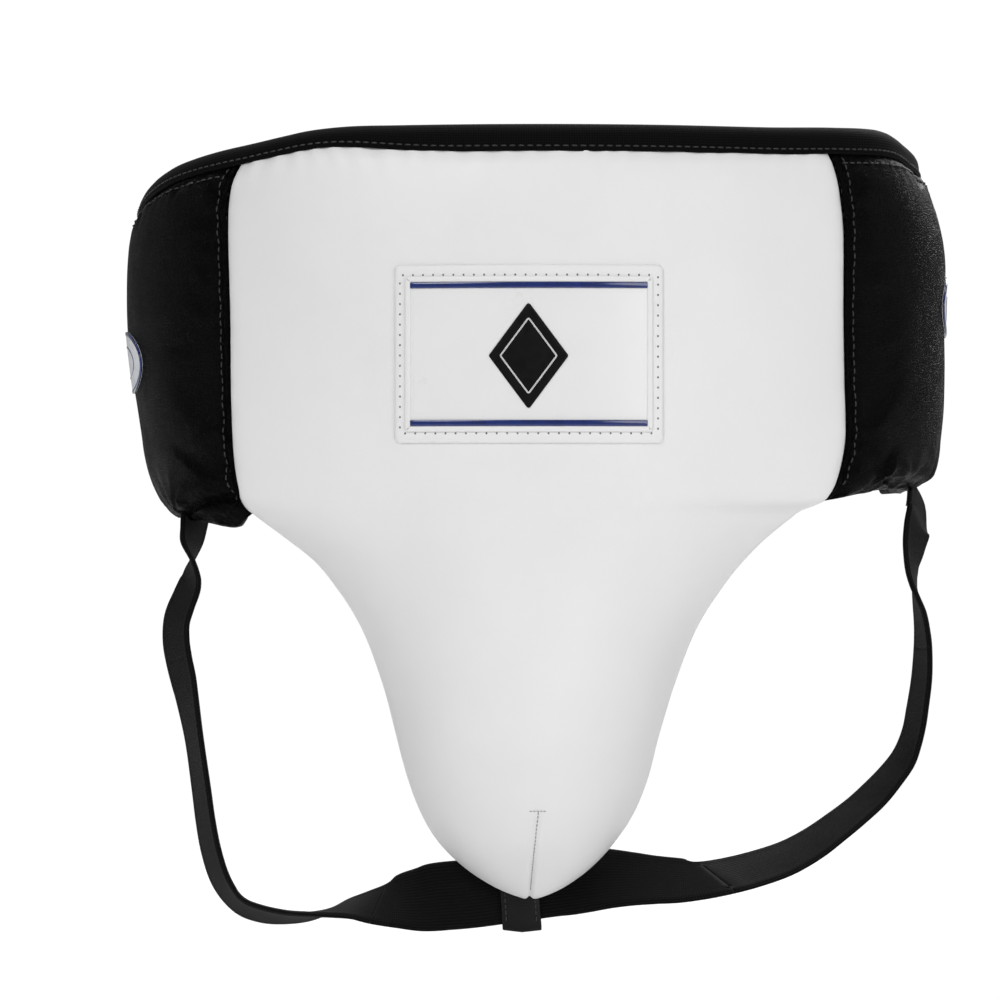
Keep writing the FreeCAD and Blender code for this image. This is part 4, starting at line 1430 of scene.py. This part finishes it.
def make_stage():
    """A round pale floor that fades out into the white of the studio."""
    count, rings = 96, 12
    vertices = [(0.0, 0.0, FLOOR_Z / MM)]
    for ring in range(1, rings + 1):
        reach = FLOOR_R * ring / rings
        for k in range(count):
            turn = math.tau * k / count
            vertices.append((reach * math.cos(turn) / MM, reach * math.sin(turn) / MM,
                             FLOOR_Z / MM))
    faces = [(0, 1 + k, 1 + (k + 1) % count) for k in range(count)]
    faces += quads(rings, count, close_columns=True, start=1)
    floor = make_mesh("studio_floor", vertices, faces, MAT["floor"])


def add_light(name, place, target, size, power):
    lamp = bpy.data.lights.new(name, "AREA")
    lamp.shape, lamp.size, lamp.energy = "DISK", size, power
    holder = bpy.data.objects.new(name, lamp)
    bpy.context.collection.objects.link(holder)
    holder.location = place
    holder.rotation_euler = (Vector(target) - Vector(place)).to_track_quat("-Z", "Y").to_euler()


make_stage()
MIDDLE = (0, 0, -0.16)
for lamp_name, lamp_place, lamp_target, lamp_size, lamp_power in (
        ("key", (-1.1, -2.5, 1.5), MIDDLE, 1.6, 37),
        ("fill", (1.6, -2.4, 0.5), MIDDLE, 1.8, 23),
        ("top", (0.2, 0.2, 2.2), MIDDLE, 2.2, 14),
        ("side_right", (2.3, -0.9, 0.2), MIDDLE, 0.9, 4),
        ("side_left", (-2.3, -1.0, -0.1), MIDDLE, 0.9, 2),
        ("back", (0.8, 2.3, 1.2), MIDDLE, 1.5, 30),
        ("floor_wash", (0, 0.9, 2.4), (0, 1.6, -0.4), 1.6, 40)):
    add_light(lamp_name, lamp_place, lamp_target, lamp_size, lamp_power)

WORLD_LIGHT, WORLD_SEEN = 0.24, 1.02                  # the studio's glow on the piece, to the eye
world = bpy.data.worlds.new("studio")
world.use_nodes = True
backdrop = world.node_tree.nodes["Background"]
backdrop.inputs["Color"].default_value = (1, 1, 1, 1)
sight = world.node_tree.nodes.new("ShaderNodeLightPath")
brightness = world.node_tree.nodes.new("ShaderNodeMapRange")
brightness.inputs["To Min"].default_value = WORLD_LIGHT
brightness.inputs["To Max"].default_value = WORLD_SEEN
world.node_tree.links.new(sight.outputs["Is Camera Ray"], brightness.inputs["Value"])
world.node_tree.links.new(brightness.outputs["Result"], backdrop.inputs["Strength"])
bpy.context.scene.world = world
bpy.context.scene.view_settings.view_transform = "Standard"

CAMERA_YAW = math.radians(1.5)
CAMERA_FAR, CAMERA_ASIDE, CAMERA_Z = 2.654, -0.0158, -0.1606
camera = bpy.data.objects.new("camera", bpy.data.cameras.new("camera"))
camera.data.lens, camera.data.sensor_width = 212.3, 36.0
camera.location = (CAMERA_ASIDE * math.cos(CAMERA_YAW) + CAMERA_FAR * math.sin(CAMERA_YAW),
                   -CAMERA_FAR * math.cos(CAMERA_YAW), CAMERA_Z)
camera.rotation_euler = (math.radians(90), 0, CAMERA_YAW)
bpy.context.collection.objects.link(camera)
bpy.context.scene.camera = camera
